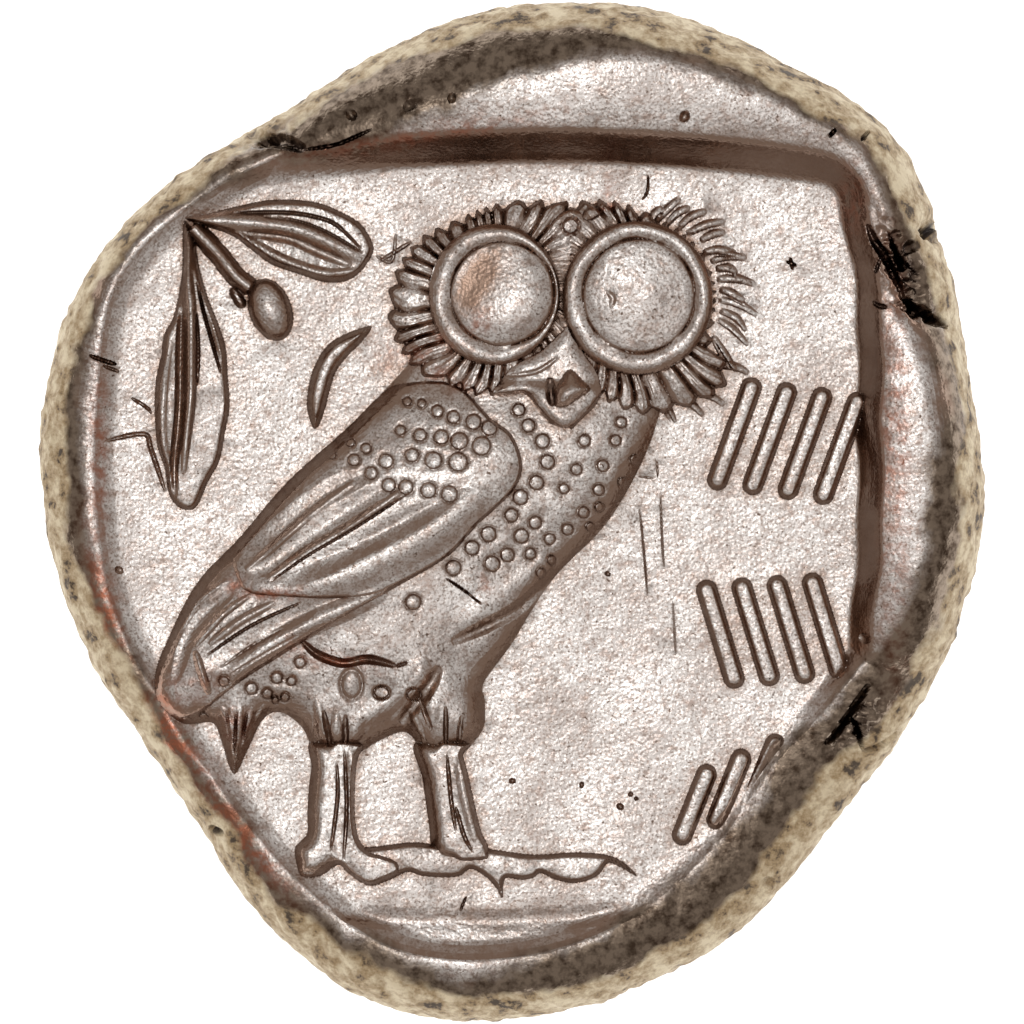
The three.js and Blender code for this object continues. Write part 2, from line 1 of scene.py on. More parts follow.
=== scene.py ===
"""The looks of a struck silver tetradrachm that lies with its owl side up.

One piece, struck_flan: a finely faceted surface on the CAD solid's outline and
levels. The relief of both sides is drawn finer than the solid's, and wear,
toning, painted shade and crust are added. Sizes are in millimetres until the
mesh is made, and in metres after that. +Z is up and +Y points to the top of the owl side.
"""

import math

import bpy
import numpy as np
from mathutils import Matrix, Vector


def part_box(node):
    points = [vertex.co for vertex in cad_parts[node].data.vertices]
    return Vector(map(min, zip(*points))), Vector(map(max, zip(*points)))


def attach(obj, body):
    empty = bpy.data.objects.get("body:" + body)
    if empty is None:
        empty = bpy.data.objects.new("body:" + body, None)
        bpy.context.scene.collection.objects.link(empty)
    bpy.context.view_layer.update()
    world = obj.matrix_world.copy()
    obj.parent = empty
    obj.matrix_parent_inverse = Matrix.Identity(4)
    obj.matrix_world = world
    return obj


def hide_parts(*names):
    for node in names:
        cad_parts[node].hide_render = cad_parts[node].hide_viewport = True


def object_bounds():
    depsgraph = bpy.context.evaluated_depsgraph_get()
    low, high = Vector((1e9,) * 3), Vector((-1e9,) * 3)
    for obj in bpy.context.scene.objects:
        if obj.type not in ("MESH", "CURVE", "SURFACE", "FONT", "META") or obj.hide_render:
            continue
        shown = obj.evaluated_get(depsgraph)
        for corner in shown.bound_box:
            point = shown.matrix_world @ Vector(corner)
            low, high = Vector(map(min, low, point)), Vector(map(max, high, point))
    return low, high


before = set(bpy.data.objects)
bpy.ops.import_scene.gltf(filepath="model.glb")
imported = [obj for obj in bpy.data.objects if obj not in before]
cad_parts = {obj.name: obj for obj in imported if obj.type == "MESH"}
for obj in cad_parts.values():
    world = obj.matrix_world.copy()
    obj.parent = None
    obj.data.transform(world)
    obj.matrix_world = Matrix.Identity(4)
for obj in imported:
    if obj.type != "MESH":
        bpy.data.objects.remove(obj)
cad_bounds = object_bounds()

# ---- sizes, in millimetres ---------------------------------------------------------

OWL_FIELD = 4.55                 # floor of the square die mark
HEAD_FIELD = 1.35                # underside field, at the middle
HEAD_FIELD_CURL = 0.4            # how far that field climbs by the edge
HEAD_WEAR = 0.12                 # how softly the worn parts meet the rest
EDGE_LOW, EDGE_HIGH = 2.7, 3.1   # the edge is upright between these heights
HEAD_SIDE_SHARE = 0.82           # underside field radius over flan radius

# Radii around the flan, every 15 degrees from +X towards +Y.
FLAN_RADII = (
    11.66, 11.8, 12.42, 13.25, 13.02, 12.94, 12.6, 11.97, 11.52, 11.82, 12.26, 12.12,
    11.8, 11.38, 10.98, 11.15, 12.12, 12.82, 12.69, 12.3, 11.78, 11.15, 11.13, 11.42,
)
LIP_RADII = (
    10.2, 10.5, 10.8, 12.2, 11.85, 11.5, 10.6, 10.1, 10.5, 11.1, 11.5, 10.85,
    10.5, 10.35, 10.1, 10.2, 10.8, 11.4, 11.2, 10.65, 9.8, 9.1, 9.3, 9.8,
)
RIM_RISE = (
    1.2, 1.2, 1.05, 1.1, 1.25, 1.3, 1.25, 1.1, 0.6, 0.16, 0.14, 0.14,
    0.14, 0.12, 0.12, 0.12, 0.12, 0.24, 0.26, 0.16, 0.05, 0.02, 0.25, 0.9,
)
# Where bright silver gives way to a dark band, partly toning and partly painted shade on the rim's outer
# slope, and that to pale crust.
DARK_RADII = (
    10.2, 10.7, 11.0, 12.35, 11.9, 11.7, 10.6, 9.75, 10.1, 11.2, 11.6, 11.0,
    10.55, 10.4, 10.0, 10.15, 10.9, 11.45, 11.2, 10.5, 9.65, 8.95, 9.2, 9.75,
)
CRUST_RADII = (
    11.1, 11.35, 11.9, 12.6, 12.3, 12.15, 12.0, 11.6, 11.15, 11.5, 11.85, 11.5,
    11.25, 10.85, 10.5, 10.75, 11.4, 11.95, 11.95, 11.85, 10.95, 10.15, 10.5, 10.95,
)

DIE_TOP, DIE_TOP_BOW, DIE_TOP_MIDDLE = 9.6, 0.012, 0.8
DIE_RIGHT, DIE_RIGHT_BOW, DIE_RIGHT_MIDDLE = 9.2, 0.008, 2.0
DIE_CORNER = 1.3
DIE_RIGHT_WANDER = 0.07
TOP_WALL, RIGHT_WALL = 1.0, 0.7
PLAIN_LIP, PLAIN_LIP_WIDTH, PLAIN_LIP_BEAD = 0.3, 0.6, 0.06

# Heights of the relief over the field.
BODY_STEP, BODY_DOME = 0.28, 0.5
RING_LEVEL, BALL_LEVEL, BEAK_RISE = 0.5, 0.6, 0.24
LEG_RISE, GROUND_RISE = 0.42, 0.24
LEAF_RISE, BERRY_RISE, CRESCENT_RISE = 0.26, 0.48, 0.34


# ---- small helpers -----------------------------------------------------------------

def swell(distance, width):
    """0 at the foot of a slope, 1 from `width` inwards, steepest at the foot."""
    left = 1 - np.clip(distance / width, 0, 1)
    return 1 - left * left


def ease(value):
    """0 to 1 with a level start and end."""
    t = np.clip(value, 0, 1)
    return t * t * (3 - 2 * t)


def bell(value):
    """1 at zero, falling away on both sides."""
    return np.exp(-value * value)


def dome(reach):
    """A round cap: 1 in the middle, 0 where reach is 1 and beyond."""
    return np.sqrt(np.clip(1 - reach * reach, 0, 1))


def through(a, b, c, d, t):
    """The Catmull-Rom curve through b and c."""
    linear = (c - a) * t
    square = (2 * a - 5 * b + 4 * c - d) * t**2
    cube = (3 * b - a - 3 * c + d) * t**3
    return b + 0.5 * (linear + square + cube)


def around(values, angle):
    """A value given every so many degrees around the flan, at any angle."""
    table = np.asarray(values)
    place = (angle / (2 * math.pi) % 1) * len(table)
    start = np.floor(place).astype(int)
    a, b, c, d = (table[(start + k) % len(table)] for k in (-1, 0, 1, 2))
    return through(a, b, c, d, place - np.floor(place))


def flan_radius(angle):
    """The outline's radius, a little lumpy between its named radii."""
    lumps = 0.02 * np.sin(11 * angle + 1) + 0.012 * np.sin(23 * angle + 2) + 0.006 * np.sin(41 * angle)
    return around(FLAN_RADII, angle) + lumps


def curve(points, closed=True, steps=6):
    """A smooth line through a few points, as short chords."""
    p = np.array(points, float)
    last = len(p) - 1
    t = np.arange(steps)[:, None] / steps
    parts = []
    for i in range(len(p) if closed else last):
        ends = [(i + k) % len(p) if closed else min(max(i + k, 0), last) for k in (-1, 0, 1, 2)]
        a, b, c, d = p[ends]
        parts.append(through(a, b, c, d, t))
    if not closed:
        parts.append(p[-1:])
    return np.concatenate(parts)


def chord_distance(x, y, a, b):
    """Distance to a chord, and how far along it the nearest point lies."""
    d = b - a
    t = np.clip(((x - a[0]) * d[0] + (y - a[1]) * d[1]) / max(float(d @ d), 1e-12), 0, 1)
    return np.hypot(x - a[0] - t * d[0], y - a[1] - t * d[1]), t


def near(x, y, points, reach):
    """The numbers of the grid points within `reach` of a line's box."""
    lo, hi = points.min(0) - reach, points.max(0) + reach
    return np.nonzero((x > lo[0]) & (x < hi[0]) & (y > lo[1]) & (y < hi[1]))[0]


def depth_inside(x, y, loop):
    """How deep each point lies inside a closed outline; 0 outside."""
    depth = np.zeros(x.shape)
    pick = near(x, y, loop, 0)
    px, py = x[pick], y[pick]
    inside = np.zeros(px.shape, bool)
    nearest = np.full(px.shape, 1e9)
    for a, b in zip(loop, np.roll(loop, -1, axis=0)):
        nearest = np.minimum(nearest, chord_distance(px, py, a, b)[0])
        if a[1] != b[1]:
            crossing = a[0] + (py - a[1]) * (b[0] - a[0]) / (b[1] - a[1])
            inside ^= ((a[1] > py) != (b[1] > py)) & (px < crossing)
    depth[pick] = np.where(inside, nearest, 0)
    return depth


def ellipse_reach(x, y, cx, cy, rx, ry, tilt=0.0):
    """Distance from the middle of an ellipse, 1 on its edge."""
    c, s = math.cos(tilt), math.sin(tilt)
    dx, dy = x - cx, y - cy
    return np.hypot((dx * c + dy * s) / rx, (dy * c - dx * s) / ry)


def ripple(x, y, seed, length, count=7):
    """A seeded smooth unevenness between about -1 and 1."""
    rng = np.random.default_rng(seed)
    total = np.zeros(x.shape)
    for _ in range(count):
        turn = rng.uniform(0, 2 * math.pi)
        wave = length * rng.uniform(0.6, 1.6)
        phase = rng.uniform(0, 2 * math.pi)
        total += np.sin(2 * math.pi * (x * math.cos(turn) + y * math.sin(turn)) / wave + phase)
    return total / math.sqrt(count * 2)


def ridge(x, y, height, points, half, rise, fade=0.25, sharp=1.5):
    """Adds a raised line, or below zero a sunk one, that fades out at its ends."""
    line = curve(points, closed=False, steps=5) if len(points) > 2 else np.array(points, float)
    pick = near(x, y, line, half)
    px, py = x[pick], y[pick]
    spans = np.hypot(*(line[1:] - line[:-1]).T)
    starts = np.concatenate([[0], np.cumsum(spans)])
    nearest = np.full(px.shape, 1e9)
    along = np.zeros(px.shape)
    for k, (a, b) in enumerate(zip(line[:-1], line[1:])):
        distance, t = chord_distance(px, py, a, b)
        closer = distance < nearest
        nearest = np.where(closer, distance, nearest)
        along = np.where(closer, (starts[k] + t * spans[k]) / starts[-1], along)
    ends = np.sqrt(np.clip(np.minimum(along, 1 - along) / fade, 0, 1))
    shape = np.clip(1 - (nearest / (half * (0.4 + 0.6 * ends))) ** 2, 0, 1) ** sharp
    height[pick] += rise * shape * ends
    return height


def dots(x, y, height, places, rise):
    """Round bosses, each with a fine sunk line around it."""
    for cx, cy, radius in places:
        pick = near(x, y, np.array([(cx, cy)]), 1.6 * radius)
        reach = np.hypot(x[pick] - cx, y[pick] - cy) / radius
        cap = 0.75 * swell((1 - reach) * radius, 0.06) + 0.25 * swell((1 - reach) * radius, radius)
        height[pick] += rise * cap - 0.02 * bell((reach - 1.08) * radius / 0.03)
    return height


# ---- the rim -----------------------------------------------------------------------

def rim_height(x, y):
    """Height of the rim and of the die mark's walls over the field."""
    angle = np.arctan2(y, x)
    rise = around(RIM_RISE, angle)
    top = DIE_TOP - DIE_TOP_BOW * (x - DIE_TOP_MIDDLE) ** 2
    right = DIE_RIGHT - DIE_RIGHT_BOW * (y - DIE_RIGHT_MIDDLE) ** 2
    right += DIE_RIGHT_WANDER * np.sin(1.9 * y + 0.5) * np.sin(0.7 * y)
    over_top, over_right = y - top + DIE_CORNER, x - right + DIE_CORNER
    corner = np.hypot(np.maximum(over_top, 0), np.maximum(over_right, 0))
    out = corner + np.minimum(0, np.maximum(over_top, over_right)) - DIE_CORNER
    width = RIGHT_WALL + (TOP_WALL - RIGHT_WALL) * ease((y - 5.5) / 3)
    wall = 0.9 * ease((out + width) / width) + 0.1 * ease((out + 0.3) / 1.1)
    inward = around(LIP_RADII, angle) - np.hypot(x, y)
    plain = np.minimum(rise, PLAIN_LIP) * (1 - ease(inward / PLAIN_LIP_WIDTH))
    plain += PLAIN_LIP_BEAD * bell(inward / 0.12) * ease((0.8 - rise) / 0.4)
    return np.maximum(rise * wall, plain)


# ---- the owl's body ----------------------------------------------------------------

BODY = curve([
    (-2.8, 3.5), (-4.1, 2.15), (-5.7, 0.7), (-6.9, -0.7), (-7.9, -1.75), (-8.6, -3.05),
    (-9.1, -4.5), (-8.45, -5.35), (-7.6, -5.3), (-7.35, -5.75), (-7.05, -6.6), (-6.7, -6.0),
    (-6.3, -5.2), (-5.85, -5.05), (-5.35, -5.4), (-5.1, -5.85), (-4.7, -6.05), (-3.95, -6.05),
    (-3.5, -5.8), (-2.95, -5.55), (-2.65, -5.6), (-2.2, -6.1), (-1.5, -6.05), (-1.2, -5.95),
    (-0.8, -5.4), (-0.78, -4.75), (-0.8, -4.3), (-0.15, -3.4),
    (0.9, -1.75), (2.2, -0.4), (3.05, 1), (3.55, 2.3), (3.7, 3.4), (2.8, 5.0), (0.6, 5.6), (-1.6, 4.9),
])
SHOULDER = [(-0.6, 2.25), (-0.1, 1.85), (0.15, 1.1), (-0.1, 0.45), (-0.95, -0.35), (-1.7, -1.15)]
WING = curve([
    *SHOULDER, (-2.95, -1.9), (-4.2, -2.6), (-5.25, -3.25), (-6.9, -4.3), (-8.2, -5.25),
    (-9.5, -5.3), (-9.3, -3.1), (-8, -1), (-6.2, 1), (-4.3, 2.7), (-1.8, 3.2),
])
COVERTS = curve([
    *SHOULDER, (-2.85, -1.8), (-3.6, -2.1), (-4.6, -2.2), (-5.85, -2.15), (-6.65, -2.05),
    (-6.95, -1.65), (-7.2, -0.4), (-6.2, 1), (-4.3, 2.7), (-1.8, 3.2),
])

# Long crests and furrows of the wing and tail: points, half width, rise.
FEATHERS = (
    ([(-4.0, 0.72), (-5.1, -0.08), (-5.95, -0.82), (-6.75, -1.5)], 0.13, 0.07),
    ([(-3.6, 1.0), (-4.9, 0.25), (-5.9, -0.5), (-6.85, -1.35)], 0.34, -0.07),
    ([(-3.3, 0.55), (-4.6, -0.3), (-5.5, -0.95), (-6.4, -1.6)], 0.36, -0.09),
    ([(-2.8, 0.5), (-4.1, -0.38), (-5.2, -1.02), (-6.2, -1.72)], 0.14, 0.09),
    ([(-2.7, 0.4), (-4.1, -0.5), (-5.2, -1.14), (-6.1, -1.78)], 0.04, -0.05),
    ([(-1.6, 0.3), (-3.2, -0.55), (-4.6, -1.25), (-5.9, -1.85)], 0.34, -0.08),
    ([(-0.7, 0.5), (-2.3, -0.62), (-4.1, -1.5), (-5.6, -1.9), (-6.6, -1.95)], 0.6, 0.12),
    ([(-7.2, -1.75), (-7.95, -2.3), (-8.4, -2.95), (-8.75, -3.6), (-9, -4.5)], 0.12, 0.08),
    ([(-7.0, -2.0), (-7.7, -2.55), (-8.2, -3.3), (-8.5, -4.3)], 0.2, -0.08),
    ([(-6.0, -2.3), (-6.85, -2.75), (-7.65, -3.35)], 0.13, 0.08),
    ([(-6.6, -2.1), (-7.3, -2.6), (-8.0, -3.4)], 0.11, 0.07),
    ([(-5.35, -2.3), (-6.6, -2.88), (-7.7, -3.62)], 0.05, -0.07),
    ([(-5.0, -2.45), (-6.3, -3.05), (-7.5, -3.85)], 0.3, -0.06),
    ([(-3.2, -2.05), (-4.85, -2.72), (-6.1, -3.4), (-7.3, -4.3)], 0.32, 0.12),
    ([(-5.8, -2.95), (-6.6, -3.4), (-7.4, -3.95)], 0.05, -0.03),
    ([(-5.4, -3.1), (-6.3, -3.6), (-7.2, -4.15)], 0.05, -0.03),
    ([(-8.0, -3.5), (-7.85, -4.0), (-7.65, -4.6)], 0.12, 0.1),
)
# Folds of breast, belly and thighs.
FOLDS = (
    ([(-5.35, -3.25), (-4.95, -3.6), (-4.3, -3.82), (-3.7, -3.72), (-3, -3.88)], 0.13, -0.17),
    ([(-3.0, -3.9), (-2.7, -3.8)], 0.06, -0.05),
    ([(1.3, -1.5), (0.4, -2.2), (-0.4, -2.72), (-1.6, -3.3)], 0.2, -0.12),
    ([(0.9, -1.2), (-0.2, -2.15), (-1.5, -2.9)], 0.45, 0.07),
    ([(-2.2, -3.7), (-2.6, -4.3), (-3.3, -4.9), (-3.9, -5.3)], 0.3, 0.08),
    ([(-1.9, -3.9), (-2.3, -4.6), (-2.9, -5.3)], 0.22, -0.14),
    ([(-1.75, -1.7), (-1.3, -2.0), (-0.85, -2.35)], 0.035, -0.07),
)
# Tufts of the thighs and under the tail: start, end, half width, rise.
TUFTS = (
    ((-4.98, -4.7), (-4.75, -5.85), 0.12, 0.12), ((-4.8, -5.0), (-4.62, -5.9), 0.07, -0.16),
    ((-4.5, -5.0), (-4.45, -5.95), 0.12, 0.12), ((-4.25, -5.1), (-4.25, -5.95), 0.07, -0.16),
    ((-3.85, -5.0), (-4.1, -5.9), 0.14, 0.1), ((-2.62, -4.95), (-2.3, -5.9), 0.1, 0.14),
    ((-2.4, -4.7), (-2.1, -5.5), 0.06, -0.14), ((-2.1, -4.7), (-2.1, -5.4), 0.16, 0.12),
    ((-1.75, -4.9), (-1.75, -5.9), 0.06, -0.16), ((-1.2, -4.6), (-1.3, -5.8), 0.3, 0.1),
    ((-1.35, -5.1), (-1.45, -5.95), 0.06, -0.13), ((-7.35, -4.9), (-7.15, -5.5), 0.1, 0.12),
    ((-7.1, -4.9), (-7.1, -6.1), 0.09, 0.12), ((-6.85, -4.85), (-6.95, -6.3), 0.09, 0.12),
    ((-6.55, -4.9), (-6.8, -6.0), 0.09, 0.12), ((-6.25, -4.85), (-6.55, -5.6), 0.09, 0.1),
    ((-7.22, -5.0), (-7.12, -5.9), 0.04, -0.1), ((-6.97, -5.0), (-7.02, -6.2), 0.04, -0.1),
    ((-6.7, -5.0), (-6.88, -6.0), 0.04, -0.1),
)

# Round bosses: x, y, radius.
WING_DOTS = (
    (-2.71, 2.71, 0.12), (-2.35, 2.66, 0.12), (-1.96, 2.47, 0.16), (-1.56, 2.32, 0.17),
    (-1.06, 2.2, 0.2), (-2.88, 1.99, 0.14), (-2.39, 1.87, 0.17), (-1.86, 1.82, 0.19),
    (-1.41, 1.72, 0.22), (-4.57, 1.37, 0.1), (-4.13, 1.69, 0.12), (-4.04, 1.25, 0.16),
    (-3.74, 1.54, 0.14), (-3.61, 0.92, 0.17), (-3.24, 1.22, 0.19), (-3.17, 0.62, 0.18),
    (-2.74, 0.57, 0.19), (-2.59, 1.37, 0.18), (-2.06, 1.24, 0.22), (-2.18, 0.49, 0.2),
    (-1.44, 1.2, 0.24), (-1.66, 0.4, 0.21), (-0.86, 1.6, 0.24), (-0.66, 2.05, 0.2),
)
BREAST_DOTS = (
    (0.07, 2.5, 0.17), (0.31, 2.11, 0.18), (0.66, 1.72, 0.19), (0.79, 1.2, 0.19),
    (0.51, 0.68, 0.19), (0.11, 0.32, 0.2), (-0.11, -0.13, 0.18), (-0.68, -0.6, 0.2),
    (-1.09, -0.94, 0.19), (-1.56, -1.44, 0.2), (1.71, 1.73, 0.16), (2.49, 1.74, 0.15),
    (2.63, 2.19, 0.15), (2.97, 1.26, 0.13), (2.66, 0.69, 0.12), (2.07, 0.5, 0.15),
    (2.09, 0.07, 0.13), (1.69, -0.06, 0.15), (1.86, -0.42, 0.12), (1.29, -0.49, 0.15),
    (0.84, -0.72, 0.15), (0.48, -0.31, 0.17), (0.14, -0.65, 0.19), (-0.21, -1.12, 0.18),
    (0.36, -1.09, 0.15), (0.89, -1.25, 0.12), (0.63, -1.57, 0.13), (-0.59, -1.34, 0.2),
    (1.51, 1.01, 0.15), (2.17, 1.1, 0.16), (1.2, 0.53, 0.14), (-2.56, -2.29, 0.2),
)
TAIL_DOTS = (
    (-5.38, -3.8, 0.15), (-5.96, -4.19, 0.15), (-5.6, -4.26, 0.13), (-6.2, -4.58, 0.14),
    (-5.76, -4.67, 0.12), (-6.59, -4.45, 0.16), (-7.28, -4.27, 0.14), (-6.0, -4.75, 0.1),
    (-8.2, -5.28, 0.13), (-7.78, -5.18, 0.12),
)
# Sunk rings around the thighs' tops: x, y, half width, half height.
THIGH_RINGS = ((-4.1, -4.35, 0.27, 0.36), (-3.35, -4.55, 0.2, 0.16), (-2.55, -4.6, 0.18, 0.15))


def owl_body(x, y):
    """The body's dome, under wing, feathers, tufts and bosses; it sinks towards the neck."""
    deep = depth_inside(x, y, BODY)
    fade = 1 - ease((y - 2.4) / 1.4)
    wing, coverts = depth_inside(x, y, WING), depth_inside(x, y, COVERTS)
    detail = (0.07 * swell(wing, 0.9) + 0.08 * swell(wing, 0.09)) * fade
    detail += (0.04 * swell(coverts, 0.7) + 0.08 * swell(coverts, 0.09)) * fade
    for points, half, rise in FEATHERS + FOLDS:
        ridge(x, y, detail, points, half, 1.2 * rise)
    for start, end, half, rise in TUFTS:
        ridge(x, y, detail, [start, end], 1.25 * half, 0.6 * rise, 0.4, 1.0)
    for place in THIGH_RINGS:
        detail -= 0.06 * bell((ellipse_reach(x, y, *place) - 1) / 0.2)
    dots(x, y, detail, WING_DOTS, 0.055)
    dots(x, y, detail, BREAST_DOTS, 0.065)
    dots(x, y, detail, TAIL_DOTS, 0.09)
    cover = np.clip(deep / 0.25, 0, 1)
    neck = 1 - 0.5 * ease((y - 1.0) / 3.0)
    height = (BODY_STEP * swell(deep, 0.6) + BODY_DOME * swell(deep, 3.0)) * neck + cover * detail
    return np.where(deep > 0, height, 0)


# ---- the owl's head ----------------------------------------------------------------

HEAD = curve([
    (-3.2, 5.35), (-2.95, 6.1), (-2.4, 6.8), (-1.5, 7.25), (-0.5, 7.65), (0.5, 7.75), (1.3, 7.7),
    (2.2, 7.75), (3.0, 7.55), (3.9, 7.1), (4.65, 6.45), (5.0, 5.5), (4.95, 4.7), (4.9, 4.2),
    (5.3, 3.6), (5.1, 2.9), (4.0, 2.45), (3.05, 2.38), (2.35, 2.65), (2.1, 2.75), (1.75, 2.3),
    (1.3, 1.98), (1.1, 2.0), (0.75, 2.25), (0.4, 2.65), (0.2, 2.9), (-0.3, 2.85), (-1.1, 2.85),
    (-1.75, 3.12), (-2.45, 3.42), (-2.85, 3.9), (-3.15, 4.5),
])
EYES = (
    {"ball": (-0.34, 5.39, 1.3, 1.3), "ring": (-0.54, 5.37, 1.64, 1.77), "lean": 0.12},
    {"ball": (3.06, 5.34, 1.4, 1.43), "ring": (3.03, 5.29, 1.88, 1.92), "lean": -0.02},
)
CERE = curve([
    (1.35, 4.65), (1.05, 4.35), (0.6, 3.95), (-0.05, 3.6), (-0.4, 3.2), (-0.6, 2.9), (-0.3, 2.82),
    (0.25, 2.88), (0.42, 2.6), (0.75, 2.25), (1.1, 2.02), (1.42, 2.04), (1.75, 2.3), (2.12, 2.75),
    (2.1, 3.15), (1.95, 3.55), (1.65, 3.95), (1.5, 4.35),
])
BEAK = curve([
    (1.35, 3.5), (1.7, 3.2), (1.86, 3), (1.57, 2.78), (1.26, 2.58), (0.97, 2.58), (0.96, 2.87),
    (1.08, 3.2),
])
EYE_PARTING = 1.35               # the line between the two eyes, along x
CHIN_STEP = 0.12
RUFF_STRANDS = 19                # half the strands in a full turn about an eye


def strand_pattern(x, y):
    """Places across the ruff's strands: 0 along a strand's middle, 1 in the groove beside it."""
    (lx, ly, *_), (rx, ry, *_) = EYES[0]["ball"], EYES[1]["ball"]
    left = x < EYE_PARTING
    angle = np.where(left, np.arctan2(y - ly, x - lx), np.arctan2(y - ry, x - rx))
    radius = np.where(left, np.hypot(x - lx, y - ly), np.hypot(x - rx, y - ry))
    lean = np.where(left, 1.0, -1.0) * 0.55 * (radius - 1.9)
    turn = angle * RUFF_STRANDS / math.pi + 0.2 * np.sin(3 * angle) + 0.2 * np.sin(7 * angle) + lean
    turn += 0.22 * ripple(x, y, 26, 1.4)
    return 2 * np.abs(turn % 1 - 0.5)


def set_eye(x, y, height, eye):
    """An eyeball in its thick rolled ring, with a broken furrow between them."""
    ball = ellipse_reach(x, y, *eye["ball"])
    ring = ellipse_reach(x, y, *eye["ring"])
    inside = np.clip((1 - ring) * eye["ring"][3], 0, None)
    outside = (ball - 1) * eye["ball"][2]
    place = inside / (inside + np.abs(outside) + 1e-6)
    tilt = ((x - eye["ball"][0]) - (y - eye["ball"][1])) * eye["lean"]
    band = RING_LEVEL + 0.17 * swell(place, 0.5) - 0.05 * ease((place - 0.6) / 0.4)
    band += 0.03 * ripple(x, y, 23, 0.9)
    height = np.where(ring < 1, np.maximum(band, RING_LEVEL), height)
    cap = BALL_LEVEL + 0.035 * swell(-outside, 0.1) + (0.15 + tilt) * np.clip(1 - ball**2, 0, 1)
    cap += 0.02 * ripple(x, y, 21, 1.1) * dome(ball)
    height = np.where(ball < 1, cap, height)
    broken = np.clip(0.02 + 0.03 * ripple(x, y, 24, 1.2), 0, 1)
    return height - broken * bell(outside / 0.03)


def owl_head(x, y, body):
    """The head; its chin steps up from the breast."""
    deep = depth_inside(x, y, HEAD)
    across = strand_pattern(x, y)
    cere = depth_inside(x, y, CERE)
    off_cere = 1 - ease(cere / 0.1)
    between = 1 - 0.75 * bell((x - EYE_PARTING) / 0.55)
    uneven = (1 + 0.5 * ripple(x, y, 12, 1.0)) * off_cere * between
    inner = deep - 0.26 * across**1.6 * (1 - ease(deep / 0.6)) * off_cere
    height = 0.16 * swell(inner, 0.12) + 0.17 * swell(inner, 0.8)
    chin = body + CHIN_STEP * swell(inner, 0.12)
    height = np.where(body > 0, np.maximum(height, chin), height)
    groove = 0.075 * across**3 + 0.03 * bell((1 - across) / 0.12)
    barbs = 0.007 * np.cos(4 * math.pi * across) + 0.014 * ripple(x, y, 25, 0.45)
    height += (0.05 - groove) * uneven * ease(inner / 0.15) + barbs * ease(inner / 0.2) * off_cere
    height = np.where(inner > 0, height, 0)
    smooth = 0.52 + 0.12 * swell(cere, 0.35)
    low = height + 0.2 * swell(cere, 0.3)
    upper = ease((y - 2.95) / 0.35)
    height = np.where(cere > 0, low + upper * (np.maximum(smooth, low - 0.12) - low), height)
    for eye in EYES:
        height = set_eye(x, y, height, eye)
    height += BEAK_RISE * swell(depth_inside(x, y, BEAK), 0.3)
    ridge(x, y, height, [(0.85, 3.3), (0.86, 2.95), (0.93, 2.6)], 0.14, -0.13)
    ridge(x, y, height, [(-0.3, 3.35), (0.5, 3.45), (1.1, 3.85)], 0.08, -0.05)
    ridge(x, y, height, [(2.25, 5.45), (2.42, 5.28), (2.35, 5.05)], 0.09, -0.05)
    dots(x, y, height, [(1.36, 7.09, 0.21)], 0.12)
    height += 0.13 * dome(ellipse_reach(x, y, 1.93, 7.44, 0.3, 0.17, 0.6))
    return np.maximum(height, 0)


# Strands around the right eye that lie loose on the field: start and tip.
LOOSE_STRANDS = (
    ((3.36, 7.15), (3.66, 7.55)), ((3.5, 7.2), (4.1, 7.78)), ((3.76, 7.12), (4.34, 7.55)),
    ((4.05, 7.0), (4.76, 7.46)), ((4.25, 6.88), (5.2, 7.2)), ((4.6, 6.72), (5.22, 6.92)),
    ((4.66, 6.42), (5.5, 6.4)), ((4.85, 6.2), (5.76, 6.3)), ((4.98, 6.02), (5.5, 5.9)),
    ((5.0, 5.76), (5.98, 5.62)), ((5.08, 5.5), (5.7, 5.2)), ((5.06, 5.26), (6.02, 4.86)),
    ((5.1, 4.98), (5.72, 4.45)), ((5.02, 4.76), (5.78, 4.1)), ((4.92, 4.34), (5.5, 3.4)),
    ((4.98, 3.6), (5.8, 3.42)), ((4.3, 2.95), (5.2, 2.62)), ((4.05, 2.85), (4.66, 2.35)),
    ((3.6, 2.85), (3.96, 2.18)), ((3.3, 2.9), (3.42, 2.45)),
)


def ruff_tips(x, y):
    """Thin pointed strands around the right eye, each with a furrow under it."""
    height = np.zeros(x.shape)
    for k, ((ax, ay), (bx, by)) in enumerate(LOOSE_STRANDS):
        bow = 0.06 * math.sin(1.7 * k)
        line = [(ax, ay), ((ax + bx) / 2 + bow, (ay + by) / 2 + 0.07), (bx, by)]
        ridge(x, y, height, line, 0.14, 0.1, 0.6, 1.0)
        ridge(x, y, height, [(px + 0.02, py - 0.12) for px, py in line], 0.05, -0.05, 0.4)
    return height


# ---- legs, ground, olive and crescent ----------------------------------------------

LEFT_LEG = curve([
    (-5.1, -5.75), (-5.1, -6.4), (-5.17, -7), (-5.2, -7.6), (-5.22, -8.1), (-5.5, -8.4), (-5.5, -8.8),
    (-5.4, -9.12), (-5, -9.16), (-4.7, -9.02), (-4.43, -8.84), (-4.2, -9.04), (-3.9, -9.26),
    (-3.62, -9.36), (-3.28, -9.24), (-2.9, -9.04), (-2.94, -8.76), (-3.3, -8.6), (-3.7, -8.48),
    (-3.92, -8.2), (-4.02, -7.64), (-4.02, -6.84), (-3.95, -6.2), (-3.85, -5.8),
])
RIGHT_LEG = curve([
    (-2.5, -5.8), (-2.34, -6.66), (-2.25, -7.26), (-2.16, -7.9), (-2.1, -8.4), (-1.8, -8.75),
    (-0.75, -8.75), (-0.68, -8.45), (-0.86, -8.05), (-0.97, -7.64), (-1.1, -7.04), (-1.22, -6.5),
    (-1.32, -6.1), (-1.2, -5.8),
])
